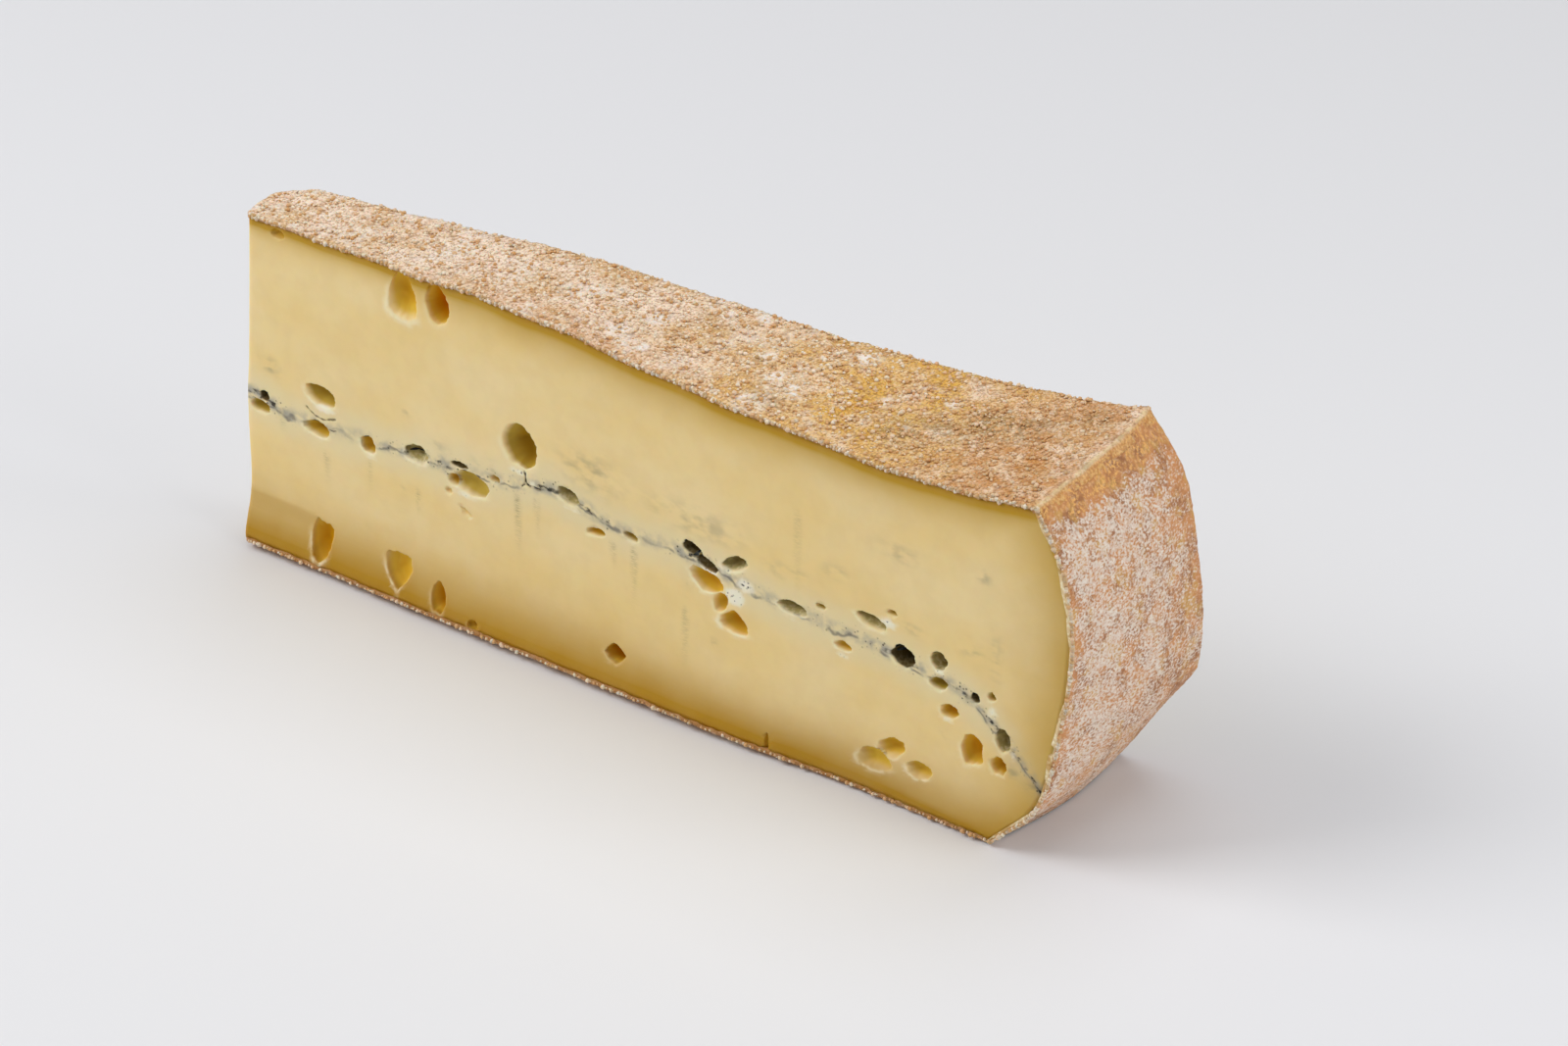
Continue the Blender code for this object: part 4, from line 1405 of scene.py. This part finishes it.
@dataclass
class TopRind:
    """The sandy skin on the upper side, which overhangs the cuts and ends in the rim's crease."""

    form: SliceForm
    thickness: float = 1.0
    cuts: tuple = ((12, 8), (7,), ())
    finer: int = 4
    overhang: float = 0.25
    tip_overhang: float = 0.3
    turns_down: float = 0.012
    rounded_over: tuple = (-0.006, -0.003, 0.0, 0.003, 0.006)
    goes_down: float = 2.5
    heelward: tuple = (0.998, 1.006)
    grain_size: float = 0.95
    small_size: float = 0.5
    grain_height: float = 0.26
    small_height: float = 0.12
    rough: tuple = ((0.22, 5.0, 34), (0.10, 1.8, 35))
    crest_height: float = 0.32
    crest_width: float = 0.0040
    sunk: float = 0.22
    warm_patch: tuple = (70.0, 0.05, 22.0, 0.18, 0.7)
    dark_spots: tuple = (
        (133.3, 10.1, 4.0, 3.0, 0.9), (146.3, 20.3, 6.0, 4.0, 0.85), (150.6, 23.7, 4.0, 3.0, 0.7),
        (139.0, 15.0, 7.0, 3.0, 0.6), (110.0, 5.0, 4.0, 2.5, 0.6), (158.0, 30.0, 4.0, 3.0, 0.5),
        (167.4, 15.3, 1.4, 1.4, 0.5), (165.8, 26.2, 1.4, 1.4, 0.5), (88.0, 20.0, 4.0, 3.0, 0.3),
    )
    white_spots: tuple = (
        (114.9, 25.6, 2.4), (101.0, 16.1, 1.5), (112.2, 8.9, 1.6), (79.3, 13.3, 2.0), (93.0, 14.7, 1.4),
        (125.8, 16.6, 1.5), (135.1, 22.7, 1.6),
    )

    def build(self, material: Material) -> Piece:
        """Builds the skin."""
        piece = divided_cube("top_rind", self.cuts)
        refine(piece, face_middles(piece)[:, 2] > OUTERMOST, self.finer)
        shares = corners(piece)
        upper = shares[:, 2] > 0.5
        along, across = shares[:, 0] * (1.0 + self.turns_down), shares[:, 1]
        points = self._path(along, across)
        edge, side = from_edges(across)
        lip = fading(edge, 0.012) * (along < 1.0)
        points[:, 1] += side * self.overhang * lip * (0.8 + 1.3 * lumps(points, 2.6, 31))
        points[:, 0] -= self.tip_overhang * fading(shares[:, 0], 0.003)
        relief, border, tone = self._relief(points, along)
        heelward = passed(along, self.heelward)
        points[:, 2] += np.where(upper, relief * (1.0 - heelward), -self.thickness * (1.0 - 0.3 * lip))
        points[:, 0] += np.where(upper, relief * heelward, -self.thickness * heelward)
        put(piece, points)
        give(piece, tone=tone, border=border, inner=np.where(upper, 0.0, 1.0))
        give(piece, **self._stains_and_painted_light(points, along, across))
        return finish_piece(piece, material)

    def _path(self, along: Points, across: Points) -> Points:
        """Points over the top and on down the heel, with the rim rounded off."""
        total = np.zeros((len(along), 3))
        for shift in self.rounded_over:
            at = along + shift * passed(along, (0.975, 0.992))
            down = np.maximum(at - 1.0, 0.0) * self.goes_down
            total += self.form.place(points_of(np.minimum(at, 1.0), across, 1.0 - down))
        return total / len(self.rounded_over)

    def _relief(self, points: Points, along: Points) -> tuple[Points, Points, Points]:
        """The height of the sandy relief, with the distance to each grain's border and its tone."""
        flat = points * np.array([1.0, 1.0, 0.0])
        near, border, tone = grains(flat, self.grain_size, 32)
        near_small, _, tone_small = grains(flat, self.small_size, 33)
        bead = dome(near, 0.80) * (0.45 + 0.75 * tone)
        small = dome(near_small, 0.80) * (0.4 + 0.6 * tone_small)
        relief = roughened(self.grain_height * bead + self.small_height * small, flat, self.rough)
        crest = fading(along - 1.0, self.crest_width)
        ridge = self.crest_height * crest * (0.8 + 0.7 * lumps(points, 2.5, 36))
        return relief * (1.0 - 0.5 * crest) + ridge - self.sunk, border, tone

    def _stains_and_painted_light(self, points: Points, along: Points, across: Points) -> dict[str, Points]:
        """Where the skin is warm, golden, dark, chalky or ridged, and where it turns down over the rim to
        take a painted highlight.
        """
        x, y, _ = points.T
        flat = points_of(x, y, 0.0)
        warm = passed(x, (132.0, 160.0)) * (0.80 + 0.5 * lumps(flat, 16.0, 41))
        chalk = blots(x, y, [(at_x, at_y, size, size, 1.0) for at_x, at_y, size in self.white_spots])
        chalk += 0.5 * eased(lumps(flat, 8.0, 43) * 1.6) * (1.0 - passed(x, (100.0, 140.0)))
        chalk += 0.8 * eased(lumps(flat, 4.5, 44) * 3.4 - 1.45) * (1.0 - 0.8 * passed(x, (122.0, 146.0)))
        ridge = fading(along - 1.0, 0.0020) * (0.85 + 0.6 * lumps(flat, 3.0, 45))
        return {
            "warm": np.maximum(warm, blots(x, across, (self.warm_patch,))),
            "golden": fading(x - 124.0, 27.0) * (0.95 + 0.6 * lumps(flat, 9.0, 42)),
            "dark": blots(x, y, self.dark_spots), "chalk": np.clip(chalk, 0.0, 1.0),
            "ridge": np.clip(ridge, 0.0, 1.0), "turned": passed(along, (1.0005, 1.004)),
        }


@dataclass
class HeelRind:
    """The powdery skin on the heel."""

    form: SliceForm
    thickness: float = 1.0
    thinnest: float = 0.3
    ends_at: float = 0.985
    cuts: tuple = ((), (9,), (19,))
    finer: int = 11
    grain_size: float = 0.8
    grain_height: float = 0.13
    rough: tuple = ((0.16, 3.2, 53), (0.08, 1.1, 54))
    sunk: float = 0.12
    jag: tuple = ((1.5, 5.0, 55), (0.8, 1.9, 56))
    strip_widths: tuple = (2.4, 4.6)
    strip_narrows: float = 1.4
    strip_softness: float = 2.6
    front_bare: float = 0.56
    back_bare: float = 0.34
    foot_bare: float = 0.10

    def build(self, material: Material) -> Piece:
        """Builds the skin."""
        piece = divided_cube("heel_rind", self.cuts)
        refine(piece, face_middles(piece)[:, 0] > OUTERMOST, self.finer)
        shares = corners(piece)
        outer, across = shares[:, 0] > 0.5, shares[:, 1]
        points = self.form.place(points_of(1.0, across, shares[:, 2] * self.ends_at))
        edge, side = from_edges(across)
        rim = fading(edge, 0.02)
        points[:, 1] += side * rim * (0.10 + 0.18 * lumps(points, 1.2, 51))
        near, border, tone = grains(points, self.grain_size, 52)
        bead = dome(near, 0.85) * (0.4 + 0.6 * tone)
        relief = roughened(self.grain_height * bead, points, self.rough) - self.sunk
        ragged = 0.9 + 1.1 * rim * lumps(points, 2.2, 59) + 0.5 * rim * lumps(points, 0.9, 60)
        points[:, 0] += np.where(outer, relief, -np.maximum(self.thickness * ragged, self.thinnest))
        put(piece, points)
        bare = self._bare(points, across, edge)
        give(piece, tone=tone, border=border, inner=np.where(outer, 0.0, 1.0), bare=bare)
        return finish_piece(piece, material)

    def _bare(self, points: Points, across: Points, edge: Points) -> Points:
        """How bare of powder points are: by the rim, the front edge, the back edge and the foot."""
        z = points[:, 2]
        jag = roughened(0.0, points, self.jag)
        strip = mix(*self.strip_widths, passed(across, (0.0, 0.4)))
        strip = strip - self.strip_narrows * passed(across, (0.6, 0.85))
        by_rim = 1.0 - eased((self.form.height - z - strip - jag + 0.6) / self.strip_softness)
        by_front = self.front_bare * fading(edge, 0.034 + 0.026 * lumps(points, 3.0, 57)) * (across < 0.5)
        by_back = self.back_bare * passed(across, (0.55, 0.95)) * (1.0 + 0.8 * lumps(points, 9.0, 58))
        by_foot = self.foot_bare * (1.0 - passed(z, (6.0, 30.0)))
        return np.max([by_rim, by_front, by_back, by_foot], axis=0)


@dataclass
class BaseRind:
    """The skin on the base, whose crumbly edge shows along the foot of the cut."""

    form: SliceForm
    thickness: float = 0.85
    cuts: tuple = ((12, 28), (9,), ())
    grain_size: float = 0.8

    STAINS = {"warm": 0.9, "golden": 0.0, "dark": 0.1, "chalk": 0.0, "ridge": 0.0, "turned": 0.0}

    def build(self, material: Material) -> Piece:
        """Builds the skin."""
        piece = divided_cube("base_rind", self.cuts)
        shares = corners(piece)
        upper, across = shares[:, 2] > 0.5, shares[:, 1]
        points = self.form.place(points_of(shares[:, 0], across, 0.0))
        edge, side = from_edges(across)
        points[:, 1] += side * fading(edge, 0.02) * (0.02 + 0.24 * lumps(points, 1.1, 61))
        points[:, 2] += np.where(upper, self.thickness * (1.0 + 0.30 * lumps(points, 1.6, 62)), 0.0)
        put(piece, points)
        _, border, tone = grains(points, self.grain_size, 63)
        give(piece, tone=tone, border=border, inner=np.where(upper, 1.0, 0.25))
        give(piece, **{name: np.full(len(points), share) for name, share in self.STAINS.items()})
        return finish_piece(piece, material)


@dataclass
class LooseGrains:
    """Sugary grains on the upper rind, and crumbs along every edge of the rind."""

    form: SliceForm
    on_top: int = 5200
    at_edges: int = 2800
    edge_shares: tuple = (0.46, 0.2, 0.22, 0.12)
    top_sizes: tuple = (0.28, 1.0)
    edge_sizes: tuple = (0.22, 1.0)
    darker_heelward: tuple = (95.0, 150.0)

    TOP_FRONT, TOP_BACK, HEEL, FOOT = range(4)

    def build(self, material: Material) -> list[Piece]:
        """Builds the grains and the crumbs."""
        return [self._top_grains(material), self._edge_crumbs(material)]

    def _top_grains(self, material: Material) -> Piece:
        """Grains scattered over the upper rind, darker towards the heel."""
        chance = np.random.default_rng(71)
        along = chance.uniform(0.0, 0.99, self.on_top * 2)
        wide = self.form.tip_width + self.form.taper * self.form.base_length * along
        keep = chance.uniform(0.0, 1.0, len(along)) < wide / wide.max()
        along = along[keep][: self.on_top]
        across = chance.uniform(-0.004, 1.004, len(along))
        middles = self.form.place(points_of(along, across, 1.0))
        size = chance.gamma(5.0, 0.105, len(along)).clip(*self.top_sizes)
        middles[:, 2] += 0.02 + 0.10 * size
        tones = chance.uniform(0.0, 1.0, len(along))
        tones = tones * (1.0 - 0.45 * passed(middles[:, 0], self.darker_heelward))
        piece = scattered("rind_grains", middles, points_of(size, size, size * 0.8), tones, 72)
        return finish_piece(piece, material)

    def _edge_crumbs(self, material: Material) -> Piece:
        """Crumbs that cling along the lips of the rind."""
        chance = np.random.default_rng(73)
        count = self.at_edges
        which = chance.choice(4, count, p=self.edge_shares)
        at_top, at_foot = which <= self.TOP_BACK, which == self.FOOT
        run, spread = chance.uniform(0.0, 1.0, count), chance.normal(0.0, 1.0, count)
        along = np.where(which == self.HEEL, 1.0, run)
        across = np.where(which == self.TOP_BACK, 1.0, 0.0)
        up = np.where(which == self.HEEL, run, np.where(at_foot, 0.0, 1.0))
        middles = self.form.place(points_of(along, across, up))
        side = np.where(which == self.TOP_BACK, 1.0, -1.0)
        middles[:, 1] += side * (0.02 + 0.16 * np.abs(spread))
        hang = np.where(at_top, -0.45 * chance.uniform(0, 1, count), 0.0)
        middles[:, 2] += np.where(at_foot, 0.4, -0.1) + hang
        size = chance.gamma(5.0, 0.10, count).clip(*self.edge_sizes)
        middles[:, 2] = np.maximum(middles[:, 2], 0.5 * size + 0.02)
        tones = chance.uniform(0.0, 0.8, count)
        piece = scattered("edge_crumbs", middles, points_of(size, size, size), tones, 74)
        return finish_piece(piece, material)


# The studio --------------------------------------------------------------------------------


@dataclass(frozen=True)
class Softbox:
    """One soft area light: where it is, what it faces, its size and its power."""

    name: str
    at: tuple[float, float, float]
    towards: tuple[float, float, float]
    size: float
    power: float

    def hang(self) -> None:
        """Hangs the light."""
        data = bpy.data.lights.new(self.name, "AREA")
        data.size, data.energy = self.size, self.power
        lamp = bpy.data.objects.new(self.name, data)
        lamp.location = self.at
        aim = Vector(self.towards) - Vector(self.at)
        lamp.rotation_euler = aim.to_track_quat("-Z", "Y").to_euler()
        bpy.context.scene.collection.objects.link(lamp)


@dataclass(frozen=True)
class Studio:
    """A pale table, soft light from above, and the camera."""

    camera_at: tuple[float, float, float] = (637.54, -673.81, 537.37)
    camera_forward: tuple[float, float, float] = (-0.52965246, 0.6855681, -0.49946436)
    lens: float = 135.0
    sensor: float = 36.0
    sees_to: float = 20.0
    floor_size: float = 6.0
    floor_level: float = -0.0004
    floor_roughness: float = 0.7
    floor_colour: Colour = (0.76, 0.76, 0.775)
    world_colour: Colour = (0.80, 0.81, 0.84)
    world_strength: float = 0.37
    softboxes: tuple[Softbox, ...] = (
        Softbox("key_softbox", (-0.68, -0.58, 0.85), (0.0, 0.0, 0.03), 0.7, 8.4),
        Softbox("top_softbox", (0.0, 0.30, 1.1), (0.0, 0.0, 0.03), 0.9, 4.0),
        Softbox("heel_softbox", (0.80, 0.10, 0.42), (0.05, 0.0, 0.03), 0.6, 3.0),
    )

    def build(self) -> None:
        """Sets up the floor, the light and the camera."""
        self._lay_floor()
        for softbox in self.softboxes:
            softbox.hang()
        world = bpy.data.worlds.new("pale_room")
        world.use_nodes = True
        background = world.node_tree.nodes["Background"]
        background.inputs["Color"].default_value = (*self.world_colour, 1.0)
        background.inputs["Strength"].default_value = self.world_strength
        scene = bpy.context.scene
        scene.world = world
        scene.view_settings.view_transform = "Standard"
        data = bpy.data.cameras.new("camera")
        data.lens, data.sensor_width, data.clip_end = self.lens, self.sensor, self.sees_to
        camera = bpy.data.objects.new("camera", data)
        camera.location = (Vector(self.camera_at) - Vector(ORIGIN)) * MM
        camera.rotation_euler = Vector(self.camera_forward).to_track_quat("-Z", "Y").to_euler()
        scene.collection.objects.link(camera)
        scene.camera = camera

    def _lay_floor(self) -> None:
        """Lays the plain pale floor."""
        deselect_all()
        bpy.ops.mesh.primitive_plane_add(size=self.floor_size, location=(0.0, 0.0, self.floor_level))
        floor = bpy.context.object
        floor.name = "floor"
        r = Recipe("floor_finish")
        floor.data.materials.append(r.dress(Base_Color=self.floor_colour, Roughness=self.floor_roughness))


def main() -> None:
    logging.basicConfig(level=logging.INFO, format="%(message)s")
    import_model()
    form = SliceForm()
    front, back = EyeField(FRONT_EYES, 3), EyeField(BackEyes().draw(form), 4)
    paste = Paste(form, front, back)
    paste.build(PasteFinish().make())
    AshSeam(form, paste).build(AshFinish().make())
    top_finish = TopRindFinish().make()
    TopRind(form).build(top_finish)
    HeelRind(form).build(HeelRindFinish().make())
    BaseRind(form).build(top_finish)
    LooseGrains(form).build(GrainFinish().make())
    Studio().build()


if __name__ == "__main__":
    main()
